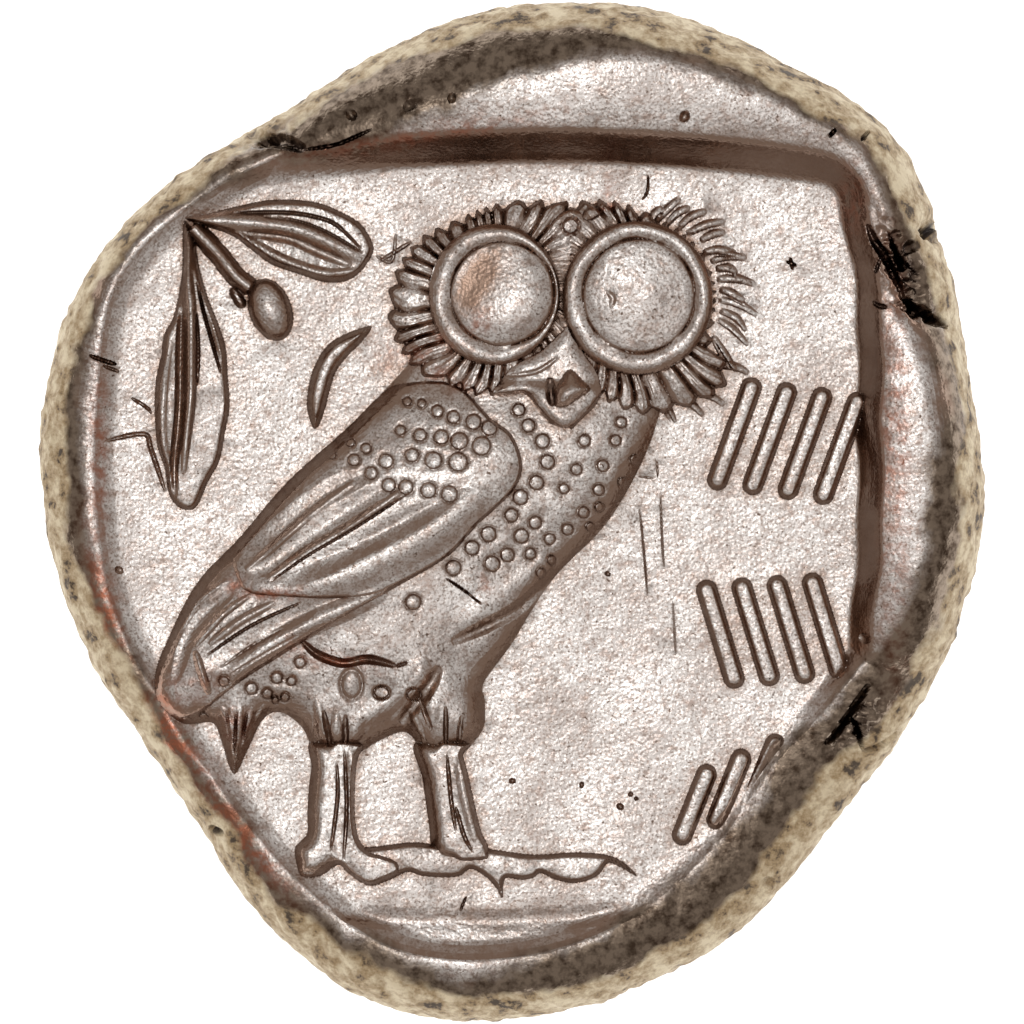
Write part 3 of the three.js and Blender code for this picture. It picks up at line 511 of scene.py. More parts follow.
GROUND = curve([
    (-5.4, -8.6), (-5.4, -9.1), (-5, -9.16), (-4.43, -8.84), (-4.15, -9.06), (-3.65, -9.36),
    (-3.2, -9.24), (-2.7, -9.02), (-2.35, -9.12), (-1.75, -9.16), (-1.4, -9.12), (-1.12, -8.95),
    (-0.75, -9.15), (-0.5, -9.4), (-0.33, -9.68), (-0.28, -9.2), (0.15, -9.22), (0.45, -9.16),
    (0.62, -9.05), (0.95, -9.2), (1.4, -9.3), (1.85, -9.22), (2.1, -9.05), (2.3, -8.8), (2.6, -8.9),
    (3, -9.12), (2.75, -8.85), (2.3, -8.62), (1.5, -8.55), (0.4, -8.6), (-0.7, -8.46),
    (-1.8, -8.38), (-2.6, -8.3), (-3.7, -8.42), (-4.6, -8.35),
])
# Furrows and crests down the shanks: points, half width, rise.
SHANK_LINES = (
    ([(-4.47, -6.3), (-4.45, -7.2), (-4.62, -8.5)], 0.06, -0.08),
    ([(-4.28, -6.0), (-4.22, -7.4), (-4.3, -8.7)], 0.06, -0.08),
    ([(-1.72, -6.1), (-1.62, -7.2), (-1.5, -8.0)], 0.06, -0.08),
    ([(-1.5, -7.4), (-1.3, -8.1), (-1.1, -8.5)], 0.06, -0.08),
    ([(-4.12, -5.9), (-4.1, -7.2), (-4.08, -8.3)], 0.14, 0.06),
    ([(-1.45, -6.1), (-1.3, -7.1), (-1.0, -8.3)], 0.14, 0.06),
)
UPPER_LEAF = curve([
    (-8.3, 7.3), (-7.65, 7.41), (-6.9, 7.58), (-6.1, 7.73), (-5.1, 7.69), (-4.45, 7.47),
    (-3.9, 7.15), (-3.6, 6.7), (-3.58, 6.4), (-3.85, 5.98), (-4.2, 5.73), (-4.75, 5.69),
    (-5.4, 5.89), (-6.1, 6.14), (-6.6, 6.5), (-7.1, 6.86), (-7.9, 7.12),
])
LONG_LEAF = curve([
    (-8.29, 7.25), (-8.31, 6.1), (-8.4, 5.4), (-8.55, 4.8), (-8.78, 4.35), (-8.85, 3.85),
    (-9, 3.1), (-9, 2.3), (-8.94, 1.6), (-8.76, 1.05), (-8.68, 0.5), (-8.5, 0.15), (-8.2, 0),
    (-7.95, 0.12), (-7.7, 0.68), (-7.4, 1.25), (-7.25, 2), (-7.15, 2.6), (-7.2, 3.4),
    (-7.25, 4.05), (-7.42, 4.6), (-7.7, 5.3), (-7.92, 6.1), (-8.03, 6.8),
])
CRESCENT = curve([
    (-3.6, 4.58), (-4.17, 4.42), (-4.7, 4.1), (-5.03, 3.55), (-5.18, 3.0), (-5.2, 2.5), (-5.02, 2.02),
    (-4.82, 2.35), (-4.66, 2.95), (-4.5, 3.45), (-4.2, 3.85), (-3.85, 4.2),
])
BERRY = (-6.13, 5.0, 0.52, 0.8, 0.35)
# Veins of the leaves: points, half width, rise.
UPPER_VEINS = (
    ([(-8.1, 7.22), (-7.2, 7.2), (-6.2, 7.12), (-5.4, 6.98), (-4.6, 6.65), (-3.85, 6.25)], 0.24, 0.15),
    ([(-6.95, 6.9), (-6.5, 6.62), (-6.05, 6.36), (-5.4, 6.08), (-4.7, 5.9), (-4, 5.98)], 0.15, 0.12),
    ([(-6.7, 6.9), (-5.7, 6.78), (-5, 6.48), (-4.1, 6.1)], 0.16, -0.1),
    ([(-7.1, 7.4), (-5.8, 7.42), (-5, 7.31), (-4.45, 7.09), (-3.85, 6.5)], 0.06, -0.09),
    ([(-6.3, 7.32), (-5.45, 7.2), (-4.7, 6.92), (-3.8, 6.4)], 0.05, -0.06),
)
LONG_VEINS = (
    ([(-8.16, 7), (-8.18, 5.85), (-8.11, 5.05), (-8.1, 3.95), (-8.11, 2.85), (-8.19, 2.05), (-8.3, 0.9)],
     0.15, 0.16),
    ([(-8.33, 5.3), (-8.37, 3.95), (-8.38, 2.85), (-8.43, 2.05), (-8.52, 1.2), (-8.5, 0.3)],
     0.14, -0.19),
    ([(-7.96, 5.7), (-7.79, 4.95), (-7.54, 4.05), (-7.36, 3.4)], 0.05, -0.1),
    ([(-7.97, 4.95), (-7.92, 3.95), (-7.95, 3.1)], 0.05, -0.08),
    ([(-7.85, 5.7), (-7.55, 4.7), (-7.3, 3.7)], 0.1, 0.06),
    ([(-8.6, 4.3), (-8.78, 3), (-8.8, 1.8), (-8.62, 0.9)], 0.12, 0.06),
)
STALK = [(-8.12, 7.1), (-7.5, 6.47), (-7, 5.85), (-6.55, 5.5)]
SEPAL = [(-7.08, 5.55), (-6.8, 5.05)]
# Rows of short slanted strokes at the right of the field.
STROKE_ROWS = (
    {"x": 5.45, "y": 1.9, "dx": 0.88, "dy": -0.12, "lean": (0.42, 1.15), "count": 4},
    {"x": 5.1, "y": -3.1, "dx": 0.88, "dy": 0.06, "lean": (-0.34, 1.1), "count": 4},
    {"x": 4.45, "y": -7.35, "dx": 0.86, "dy": 0.38, "lean": (0.3, 0.75), "count": 3},
)
STROKE_HALF, STROKE_RISE = 0.26, 0.28


def legs(x, y):
    """Each shank slopes gently on its left and drops steeply on its right."""
    height = np.zeros(x.shape)
    for outline, axis in ((LEFT_LEG, -4.55), (RIGHT_LEG, -1.9 - 0.16 * (y + 6))):
        width = 0.14 + 0.24 * ease((axis - x) / 0.3 + 0.5)
        height = np.maximum(height, LEG_RISE * swell(depth_inside(x, y, outline), width))
    detail = np.zeros(x.shape)
    for points, half, rise in SHANK_LINES:
        ridge(x, y, detail, points, half, rise)
    return height + np.clip(height / 0.2, 0, 1) * detail


def leaf(x, y, loop, veins):
    """A level-topped leaf with its veins."""
    height = LEAF_RISE * swell(depth_inside(x, y, loop), 0.16)
    detail = np.zeros(x.shape)
    for points, half, rise in veins:
        ridge(x, y, detail, points, half, rise)
    return height + np.clip(height / 0.15, 0, 1) * detail


def olive(x, y):
    """Two leaves, a berry, and the stalk and sepal that hold it."""
    height = np.maximum(leaf(x, y, UPPER_LEAF, UPPER_VEINS), leaf(x, y, LONG_LEAF, LONG_VEINS))
    height = np.maximum(height, BERRY_RISE * dome(ellipse_reach(x, y, *BERRY)))
    stalk = ridge(x, y, np.zeros(x.shape), STALK, 0.25, 0.32, 0.05, 1.0)
    sepal = ridge(x, y, np.zeros(x.shape), SEPAL, 0.15, 0.15)
    return np.maximum(height, np.maximum(stalk, sepal))


def strokes(x, y):
    """Level-topped strokes, cut short where the flan's lip comes in."""
    height = np.zeros(x.shape)
    for row in STROKE_ROWS:
        for i in range(row["count"]):
            cx, cy = row["x"] + i * row["dx"], row["y"] + i * row["dy"]
            lx, ly = row["lean"]
            ends = np.array([(cx - lx, cy - ly), (cx + lx, cy + ly)])
            pick = near(x, y, ends, STROKE_HALF)
            distance, _ = chord_distance(x[pick], y[pick], *ends)
            bar = STROKE_RISE * swell(STROKE_HALF - distance, 0.16)
            height[pick] = np.maximum(height[pick], bar)
    inside = around(LIP_RADII, np.arctan2(y, x)) - np.hypot(x, y)
    return height * ease((inside - 0.1) / 0.4)


def crescent(x, y):
    return CRESCENT_RISE * swell(depth_inside(x, y, CRESCENT), 0.22)


# Scratches, splits and creases in the field and rim: points, half width, rise.
MARKS = (
    ([(3.51, 1.29), (3.54, 0.79)], 0.03, -0.025),
    ([(3.6, 0.5), (3.66, -1), (3.71, -1.5)], 0.03, -0.028),
    ([(3.06, 0.16), (3.16, -0.7), (3.29, -2.2)], 0.03, -0.028),
    ([(3.04, 0.84), (3.46, 0.79)], 0.03, -0.025), ([(3.91, -2.2), (3.99, -3.7)], 0.03, -0.02),
    ([(3.3, 8.35), (3.28, 7.95), (3.15, 7.75)], 0.04, -0.07),
    ([(-10.3, 1.7), (-9.3, 1.9), (-9.1, 1.5), (-8.75, 0.45)], 0.07, -0.08),
    ([(-9.6, 2.8), (-9.2, 2.55), (-9.1, 2.4)], 0.05, -0.06),
    ([(-10.3, 3.6), (-9.9, 3.45)], 0.05, -0.06), ([(6.75, 6.2), (7.0, 6.1)], 0.05, -0.1),
    ([(6.85, 6.3), (6.9, 6.0)], 0.05, -0.08), ([(-3.4, 6.2), (-3.0, 6.45), (-2.6, 6.7)], 0.06, 0.05),
    ([(-3.5, 6.35), (-3.1, 6.2), (-3.0, 6.9)], 0.05, 0.04), ([(-5.0, -5.5), (-5.6, -7.5)], 0.3, -0.015),
)
# Splits and breaks of the rim, in the same terms.
SPLITS = (
    ([(-6.75, 9.4), (-6.0, 9.3), (-5.25, 8.98)], 0.2, -0.35),
    ([(-6.6, 9.15), (-5.9, 9.1), (-5.3, 8.95)], 0.1, -0.15),
    ([(-5.3, 8.98), (-4.6, 9.08), (-4.25, 9.19), (-3.59, 9.49)], 0.06, -0.13),
    ([(8.76, 7.12), (8.98, 6.63), (9.3, 6.15), (9.47, 5.86), (9.68, 5.3)], 0.13, -0.3),
    ([(9.68, 5.3), (10.03, 5.02), (10.59, 4.74), (10.87, 4.6)], 0.16, -0.35),
    ([(10.5, 7.15), (10.3, 6.98), (10.15, 6.8)], 0.15, -0.4),
    ([(8.9, 5.2), (9.05, 5.09), (9.25, 5.05)], 0.08, -0.15), ([(8.59, 9.2), (8.8, 9.43)], 0.06, -0.15),
    ([(7.8, 9.3), (7.97, 9.5)], 0.06, -0.15),
    ([(-9.96, 3.63), (-10.2, 3.7), (-10.65, 3.86)], 0.06, -0.15),
    ([(-7.65, -7.9), (-7.3, -8.1)], 0.1, -0.2),
    ([(7.71, -5.83), (8.05, -5.55), (8.56, -4.77), (8.8, -4.35)], 0.13, -0.3),
    ([(8.4, -5.2), (8.56, -5.5), (8.7, -6.04)], 0.08, -0.2),
    ([(8.7, -6.04), (9.15, -5.85), (9.54, -5.54)], 0.08, -0.18),
    ([(9.3, 6.9), (9.6, 6.3), (10.1, 5.9)], 0.07, -0.15), ([(9.1, 6.3), (8.95, 5.9)], 0.06, -0.12),
    ([(-1.24, -9.64), (-1.39, -10.0)], 0.04, -0.06),
)
# Pits: x, y, radius, depth.
PITS = (
    (-4.1, 9.85, 0.17, 0.15), (-1.6, 10.26, 0.14, 0.12), (-2.64, 10.06, 0.2, 0.12),
    (4.2, 9.8, 0.16, 0.12), (-0.09, -6.76, 0.09, 0.08), (1.64, -6.86, 0.08, 0.07),
    (2.6, -7.4, 0.1, 0.08), (2.86, -7.09, 0.07, 0.06), (3.0, -7.2, 0.06, 0.06),
    (2.29, -1.59, 0.08, 0.06), (8.7, -3.2, 0.16, 0.12), (9.9, 6.6, 0.22, 0.2), (9.5, 6.9, 0.15, 0.15),
    (6.3, -9.3, 0.18, 0.12), (-9.9, -1.5, 0.12, 0.08),
)
# The die mark's lower edge, which crosses the bottom as a low step.
EXERGUE_STEP = [(-5.0, -9.95), (-3.5, -10.18), (-0.5, -10.25), (2, -10.1), (4, -9.75)]


def field_marks(x, y):
    """Scratches and creases, the die's lower edge, and fine level streaks at the left."""
    height = np.zeros(x.shape)
    for points, half, rise in MARKS:
        ridge(x, y, height, points, half, rise)
    ridge(x, y, height, EXERGUE_STEP, 0.3, -0.07, 0.2)
    left = bell((x + 10.4) / 0.7) * bell((y - 3.4) / 3.2)
    height += 0.012 * left * np.sin(2 * math.pi * (y + 0.06 * np.sin(3 * x)) / 0.19)
    return height


def owl_relief(x, y):
    """The owl and all that stands beside it, as heights over the field."""
    body = owl_body(x, y)
    height = np.maximum(body, owl_head(x, y, body))
    height = np.maximum(height, legs(x, y))
    height = np.maximum(height, GROUND_RISE * swell(depth_inside(x, y, GROUND), 0.14))
    height = np.maximum(height, olive(x, y))
    height = np.maximum(height, crescent(x, y))
    height = np.maximum(height, strokes(x, y))
    return np.maximum(height, ruff_tips(x, y))


def owl_face(x, y):
    return OWL_FIELD + np.maximum(rim_height(x, y), owl_relief(x, y)) + field_marks(x, y)


# Rough broken hollows of the rim: x, y, half width, half height, tilt, depth.
BREAKS = (
    (9.55, 6.1, 0.42, 1.0, 0.45, 0.28), (10.2, 4.95, 0.7, 0.22, -0.35, 0.3),
    (8.6, -5.3, 0.45, 0.9, -0.7, 0.16), (-6.3, 9.3, 0.8, 0.2, 0.3, 0.2),
    (10.35, 7.0, 0.2, 0.28, 0.6, 0.4),
)


def crusty(x, y, z):
    """Corroded lumps, running a little along the edge."""
    across, along = x + 0.8 * z, y - 0.6 * z
    return 0.03 * ripple(across, along, 31, 0.9) + 0.02 * ripple(across, along, 32, 0.32)


def owl_wear(x, y, z):
    """Lumps, splits, pits and corrosion, strongest on the rim's outer slope."""
    angle, radius = np.arctan2(y, x), np.hypot(x, y)
    dark = ease((radius - around(DARK_RADII, angle) + 0.2) / 0.5)
    crust = ease((radius - around(CRUST_RADII, angle) + 0.1) / 0.4)
    wear = 0.02 * ripple(x, y, 3, 3.5) + 0.005 * ripple(x, y, 4, 0.9)
    rough = 0.03 * ripple(x, y, 33, 1.5) + 0.014 * ripple(x, y, 34, 0.4)
    wear += dark * rough + crust * crusty(x, y, z)
    for *place, depth in BREAKS:
        share = bell(ellipse_reach(x, y, *place))
        wear -= depth * share * (1 + 0.5 * ripple(x, y, 35, 0.5) + 0.35 * ripple(x, y, 36, 0.22))
    for points, half, rise in SPLITS:
        ridge(x, y, wear, points, half, rise)
    for cx, cy, across, depth in PITS:
        wear -= depth * np.clip(1 - ellipse_reach(x, y, cx, cy, across, 0.8 * across, cx) ** 2, 0, 1)
    return wear


def head_wear(x, y, z):
    crust = ease((np.hypot(x, y) / flan_radius(np.arctan2(y, x)) - 0.9) / 0.05)
    return 0.02 * ripple(x, y, 5, 3.5) + 0.006 * ripple(x, y, 6, 0.9) + crust * crusty(x, y, z)


# Patches of red toning, and of brown that is partly toning and partly painted shade in breaks, on walls
# and beside the beak: x, y, half width, half height, tilt, strength.
RED_PATCHES = (
    (-0.95, 4.62, 0.35, 0.25, 0.6, 0.6), (-1.84, 4.16, 0.35, 0.25, -0.8, 0.6),
    (-2.46, 3.84, 0.4, 0.22, 0, 0.7), (-1.96, 3.41, 0.3, 0.2, 0, 0.6), (-1.29, 3.09, 0.3, 0.16, 0, 0.5),
    (2.24, 8.04, 0.2, 0.28, 0, 0.4), (2.3, 7.55, 0.22, 0.07, 0.3, 0.8),
    (-8.7, -4.7, 0.7, 0.4, 0.8, 0.6), (-7.8, -4.45, 0.5, 0.3, 0.6, 0.4),
    (-6.96, -5.4, 0.4, 0.4, 0, 0.5), (-6.2, -2.08, 0.9, 0.12, 0, 0.9),
    (-7.0, -1.85, 0.16, 0.22, 0, 1.0), (9.42, 1.2, 0.3, 4.0, 0, 0.8),
    (-4.4, -3.75, 1.0, 0.14, -0.1, 0.7), (-5.4, -3.5, 0.35, 0.2, -0.7, 0.7),
    (8.4, 7.7, 0.3, 0.7, 0, 0.7), (-0.7, -1.85, 0.15, 0.15, 0, 0.5), (-10.2, -2.7, 0.3, 1.9, 0.2, 1.1),
    (-8.75, -5.5, 0.34, 1.6, 0.75, 1.1), (-6.9, -8.1, 0.3, 1.7, 0.7, 1.0),
    (-2.6, 9.25, 2.8, 0.16, 0.15, 0.8), (-3.4, 4.0, 0.3, 0.3, 0, 0.4), (-10.4, 1.4, 0.2, 2.2, 0, 0.8),
)
# Brown patches: toning, with painted shade in the rim's breaks, along the die mark's walls and beside
# the beak.
BROWN_TONE_AND_SHADE_PATCHES = (
    (-0.98, 5.7, 0.42, 0.95, -0.55, 1.9), (1.86, 5.8, 0.2, 0.55, 0, 0.5),
    (3.8, 4.35, 0.5, 0.3, 0.5, 0.5), (-3.1, 3.5, 0.5, 0.5, 0, 1.0), (2.2, 0.0, 1.6, 0.55, 1.0, 0.55),
    (0.3, 9.05, 8.0, 0.42, 0, 1.1), (0.0, -10.05, 4.5, 0.28, 0, 0.5),
    (-5.3, -0.1, 1.9, 0.35, 0.75, 0.5), (9.0, 2.5, 0.3, 5.5, 0, 1.0), (-3.2, 5.6, 0.3, 1.2, 0, 0.5),
    (-1.5, 7.3, 1.2, 0.25, 0.4, 0.5), (0.88, 3.0, 0.12, 0.35, 0, 1.2), (9.75, 6.1, 0.35, 0.8, 0.5, 1.6),
    (10.2, 4.95, 0.5, 0.2, -0.4, 1.8), (10.35, 6.98, 0.2, 0.25, 0, 2.2),
    (8.5, -5.4, 0.35, 0.7, -0.7, 1.3), (-6.1, 9.25, 0.5, 0.15, 0.3, 1.6),
    (-7.5, -8.0, 0.18, 0.1, 0.5, 2.0),
)


def patches(x, y, places):
    """The strongest of the patches at each point."""
    share = np.zeros(x.shape)
    for *place, strength in places:
        share = np.maximum(share, strength * bell(ellipse_reach(x, y, *place)))
    return share


# ---- the underside -----------------------------------------------------------------

# Seen from below, so +S is towards -X. The face is set out in thirds, from
# hairline to brow, brow to nose and nose to chin.
CROWN, CHIN = 8.4, -5.9
THIRD = (6.4 - CHIN) / 3
BROW, NOSE, MOUTH = CHIN + 2 * THIRD, CHIN + THIRD, CHIN + 2 * THIRD / 3
FOREHEAD = 5.1                   # how far forward the brow lies

PROFILE = curve([
    (FOREHEAD - 0.1, BROW + 1.7), (FOREHEAD + 0.2, BROW + 0.2), (FOREHEAD + 0.05, BROW - 0.6),
    (FOREHEAD + 0.5, NOSE + 2.2), (FOREHEAD + 0.95, NOSE + 0.95), (FOREHEAD + 1.05, NOSE + 0.5),
    (FOREHEAD + 0.85, NOSE + 0.12), (FOREHEAD + 0.35, NOSE - 0.1), (FOREHEAD + 0.3, NOSE - 0.5),
    (FOREHEAD + 0.52, MOUTH + 0.38), (FOREHEAD + 0.28, MOUTH), (FOREHEAD + 0.42, MOUTH - 0.38),
    (FOREHEAD + 0.08, MOUTH - 0.8), (FOREHEAD + 0.28, CHIN + 1.1), (FOREHEAD - 0.1, CHIN + 0.35),
    (FOREHEAD - 0.9, CHIN), (2.6, CHIN + 0.4), (1.6, CHIN), (1.5, -7.2), (2.3, -8.7),
    (0, -9.3), (-2.4, -9.3), (-4.4, -8.3), (-4.2, -6.4), (-5.6, -4.2), (-6.9, 1), (-4, 5.8), (1, 7),
    (4.3, 5.6),
])
HELMET_EDGE = [(5.3, 4.3), (3.4, 4.15), (1.5, 3.9), (-1.6, 3.1), (-3.2, 0.6), (-4.5, -2.4), (-5.4, -4.6)]
HELMET = curve([
    *HELMET_EDGE, (-7.6, -3.6), (-7.7, 0.6), (-6.2, 4.6), (-2.6, 7.4), (1.5, CROWN - 0.6), (4.4, 6.2),
])
CREST = curve([
    (4.6, 7.3), (1, 9.6), (-3.5, 8.9), (-7.3, 6), (-9.1, 1.4), (-9, -3.4),
    (-7.5, -3.2), (-7.55, 0.7), (-6.1, 4.7), (-2.6, 7.3), (1, 7.8), (4.2, 6.3),
])
HAIR = curve([
    (4.9, 4.3), (3.6, 3.3), (1.6, 2.9), (0.2, 2.0), (-0.5, 0.6), (-1.9, -0.4), (-2.4, -1.8),
    (-2.7, -3.4), (-3.6, -5.0), (-5.0, -5.0), (-4.6, -2.6), (-3.2, 0.6), (-1.6, 3.1), (1.5, 4.0),
])
FACE_EYE = (3.6, BROW - 1.15, 0.8, 0.36)
EAR = (-0.9, (BROW + NOSE) / 2 - 0.9, 0.55, 1.1, -0.15)
HEAD_DOME = (-0.8, 0.6, 8.0, 8.0)
CHEEK = (3.2, NOSE + 0.6, 1.7, 1.7)
WAVE, WAVE_CENTRE = 0.42, (1.6, -2.0)   # the hair waves in rings about the cheek
JAW_LEVEL, JAW_SLOPE, JAW_SOFTNESS = -4.6, 0.45, 0.7
FACE_STEP, FACE_DOME = 0.5, 0.8
HELMET_STEP, PLUME_STEP, HAIR_STEP, NECK_STEP = 0.22, 0.55, 0.12, 0.24
# Lines of the face and helmet: points, half width, rise.
FACE_LINES = (
    ([(2.1, BROW + 0.1), (3.4, BROW + 0.5), (4.9, BROW + 0.15)], 0.3, 0.12),
    ([(2.7, BROW - 0.8), (3.6, BROW - 0.6), (4.5, BROW - 0.95)], 0.1, 0.1),
    ([(5.3, NOSE + 0.7), (5.05, NOSE + 0.2), (5.5, NOSE)], 0.15, -0.12),
    ([(4.4, MOUTH + 0.1), (5.0, MOUTH + 0.02), (5.7, MOUTH)], 0.1, -0.16),
    ([(4.6, MOUTH + 0.38), (5.7, MOUTH + 0.38)], 0.24, 0.09),
    ([(4.7, MOUTH - 0.35), (5.6, MOUTH - 0.35)], 0.26, 0.1),
)
HELMET_LINES = (
    ([(s * 0.98, y + 0.45) for s, y in HELMET_EDGE], 0.14, 0.12),
    ([(s * 0.99 - 0.1, y + 0.85) for s, y in HELMET_EDGE], 0.1, -0.1),
    ([(-5.9, 0.9), (-5.2, 3.2), (-3.6, 4.9), (-2.2, 5.2), (-1.6, 4.6), (-2.2, 4.1), (-2.8, 4.5)],
     0.24, 0.16),
    ([(0.2, 5.2), (1.4, 6.3), (2.6, 5.9), (3.6, 5.1)], 0.2, 0.13),
)


def below_jaw(s, y):
    """1 on the neck, 0 on the face, with a soft line between ear and chin."""
    return ease((JAW_LEVEL - JAW_SLOPE * s - y) / JAW_SOFTNESS + 0.5)


def head_relief(s, y):
    """How far the head side stands below its field."""
    crest = depth_inside(s, y, CREST)
    plume = PLUME_STEP * swell(crest, 0.35)
    angle = np.arctan2(y, s)
    plume -= 0.07 * np.abs(np.sin(40 * angle)) ** 6 * ease(crest / 0.3)
    helmet = depth_inside(s, y, HELMET)
    hair = depth_inside(s, y, HAIR) * (helmet == 0)
    depth = np.maximum(depth_inside(s, y, PROFILE), helmet)
    cap = FACE_DOME * (1 - ellipse_reach(s, y, *HEAD_DOME) ** 2)
    height = FACE_STEP * swell(depth, 0.5) + cap * swell(depth, 2.5) + HELMET_STEP * swell(helmet, 0.3)
    ds, dy = s - WAVE_CENTRE[0], y - WAVE_CENTRE[1]
    locks = np.sin(2 * math.pi * (np.hypot(ds, dy) + 0.1 * np.sin(14 * np.arctan2(dy, ds))) / WAVE)
    height += HAIR_STEP * swell(hair, 0.15) + 0.05 * locks * ease(hair / 0.12)
    height -= NECK_STEP * below_jaw(s, y) * (1 - ease(hair / 0.1)) * (1 - ease(helmet / 0.1))
    height += 0.12 * bell(ellipse_reach(s, y, *CHEEK))
    for points, half, rise in FACE_LINES + HELMET_LINES:
        ridge(s, y, height, points, half, rise)
    eye = ellipse_reach(s, y, *FACE_EYE)
    height += np.where(eye < 1.5, 0.14 * np.cos(eye * math.pi), 0)
    ear = ellipse_reach(s, y, *EAR)
    height += np.where(ear < 1.3, 0.16 * swell(1.3 - ear, 0.3) - 0.2 * bell(ear / 0.5), 0)
    return np.where(depth > 0, np.maximum(height, plume * (helmet == 0)), plume)


def head_face(x, y):
    """The highest parts are worn down, so the coin lies on them."""
    share = np.hypot(x, y) / flan_radius(np.arctan2(y, x))
    height = HEAD_FIELD + HEAD_FIELD_CURL * share**2 - head_relief(-x, y)
    return (height + np.sqrt(height**2 + HEAD_WEAR**2)) / 2


# ---- from the two faces to one closed surface --------------------------------------

OWL_STEPS, HEAD_STEPS = 1024, 512
EDGE_SHARE = 0.14                # share of the grid spent on the rounded edge


def square_to_disc(u, v):
    """The unit square's rings laid onto rings of the disc: angle and ring."""
    quarter = math.pi / 4
    wide = np.abs(u) >= np.abs(v)
    flat = np.where(u == 0, 1, u)
    tall = np.where(v == 0, 1, v)
    along_u = np.where(u < 0, math.pi, 0) + quarter * v / flat
    along_v = np.where(v < 0, -2, 2) * quarter - quarter * u / tall
    return np.where(wide, along_u, along_v), np.maximum(np.abs(u), np.abs(v))


def half_points(steps, face, wear, lip_radius, edge):
    """One half as a square grid of points: the struck face, then a quarter round."""
    line = np.linspace(-1, 1, steps + 1)
    u, v = np.meshgrid(line, line)
    angle, ring = square_to_disc(u, v)
    flan = flan_radius(angle)
    lip = lip_radius(angle, flan)
    inner = 1 - EDGE_SHARE
    r = lip * np.minimum(ring / inner, 1)
    height = face((r * np.cos(angle)).ravel(), (r * np.sin(angle)).ravel()).reshape(r.shape)
    bend = np.clip((ring - inner) / EDGE_SHARE, 0, 1) * math.pi / 2
    r = r + (flan - lip) * np.sin(bend)
    z = edge + (height - edge) * np.cos(bend)
    flat = [values.ravel() for values in (r * np.cos(angle), r * np.sin(angle), z)]
    outward = wear(*flat).reshape(r.shape)
    r = r + outward * np.sin(bend)
    z = z + outward * np.cos(bend) * (1 if edge == EDGE_HIGH else -1)
    return np.stack([r * np.cos(angle), r * np.sin(angle), z], -1)


def normals_of(points):
    """The grid surface's normal at each of its points."""
    across = np.gradient(points, axis=1)
    upward = np.gradient(points, axis=0)
    n = np.cross(across, upward)
    return n / np.maximum(np.linalg.norm(n, axis=-1, keepdims=True), 1e-12)


def hidden_errors(points, normals):
    """For each grid point, the worst error hidden by leaving it out.

    Right triangles are halved at the middle of their long side, so each
    point's error takes in those of the four points that depend on it."""
    steps = len(points) - 1
    errors = np.zeros(points.shape[:2])

    def own(ends, j, i):
        gap = np.einsum("...k,...k", ends / 2 - points[j, i], normals[j, i])
        return np.abs(gap)

    s = 1
    while s < steps:
        even, odd, double = slice(0, None, 2 * s), slice(s, None, 2 * s), 2 * s
        corner = points[even, even]
        flat = own(corner[:, :-1] + corner[:, 1:], even, odd)
        tall = own(corner[:-1] + corner[1:], odd, even)
        if s > 1:
            fine = np.pad(errors[s // 2 :: s, s // 2 :: s], 1)
            pairs = np.maximum(fine[:, 1:-2:2], fine[:, 2:-1:2])
            flat = np.maximum(flat, np.maximum(pairs[0::2], pairs[1::2]))
            pairs = np.maximum(fine[1:-2:2], fine[2:-1:2])
            tall = np.maximum(tall, np.maximum(pairs[:, 0::2], pairs[:, 1::2]))
        errors[even, odd], errors[odd, even] = flat, tall
        count = steps // double
        rising = (np.add.outer(np.arange(count), np.arange(count)) % 2 == 0)[..., None]
        ends = np.where(rising, corner[:-1, :-1] + corner[1:, 1:], corner[:-1, 1:] + corner[1:, :-1])
        middle = own(ends, odd, odd)
        for side in (flat[:-1], flat[1:], tall[:, :-1], tall[:, 1:]):
            middle = np.maximum(middle, side)
        errors[odd, odd] = middle
        s = double
    return errors


def triangulate(errors, tolerance):
    """Triangles as grid point numbers, fine only where the form needs it."""
    steps = len(errors) - 1
    corners = np.array([[[0, 0], [steps, steps], [0, steps]], [[steps, steps], [0, 0], [steps, 0]]])
    done = []
    while len(corners):
        a, b, apex = corners[:, 0], corners[:, 1], corners[:, 2]
        middle = (a + b) // 2
        reach = np.abs(a - apex).sum(1)
        split = (reach > 1) & (errors[middle[:, 1], middle[:, 0]] > tolerance)
        done.append(corners[~split])
        a, b, apex, middle = a[split], b[split], apex[split], middle[split]
        corners = np.concatenate([np.stack([apex, a, middle], 1), np.stack([b, apex, middle], 1)])
    found = np.concatenate(done)
    return found[..., 1] * (steps + 1) + found[..., 0]


def widest_loop(triangles, steps):
    """The points on the flan's widest line and their angles, by rising angle."""
    number = np.unique(triangles)
    i, j = number % (steps + 1), number // (steps + 1)
    edge = (i == 0) | (i == steps) | (j == 0) | (j == steps)
    number, i, j = number[edge], i[edge], j[edge]
    angle = square_to_disc(2 * i / steps - 1, 2 * j / steps - 1)[0] % (2 * math.pi)
    order = np.argsort(angle)
    return number[order], angle[order]


def join_loops(low, high):
    """The upright band between the two halves' widest lines."""
    (low_number, low_angle), (high_number, high_angle) = low, high
    i = j = 0
    band = []
    while i < len(low_number) or j < len(high_number):
        next_low = low_angle[(i + 1) % len(low_angle)] + 2 * math.pi * ((i + 1) // len(low_angle))
        next_high = high_angle[(j + 1) % len(high_angle)] + 2 * math.pi * ((j + 1) // len(high_angle))
        a, d = low_number[i % len(low_number)], high_number[j % len(high_number)]
        if j >= len(high_number) or (i < len(low_number) and next_low <= next_high):
            band.append((a, low_number[(i + 1) % len(low_number)], d))
            i += 1
        else:
            band.append((a, high_number[(j + 1) % len(high_number)], d))
            j += 1
    return np.array(band)


# ---- the piece ---------------------------------------------------------------------

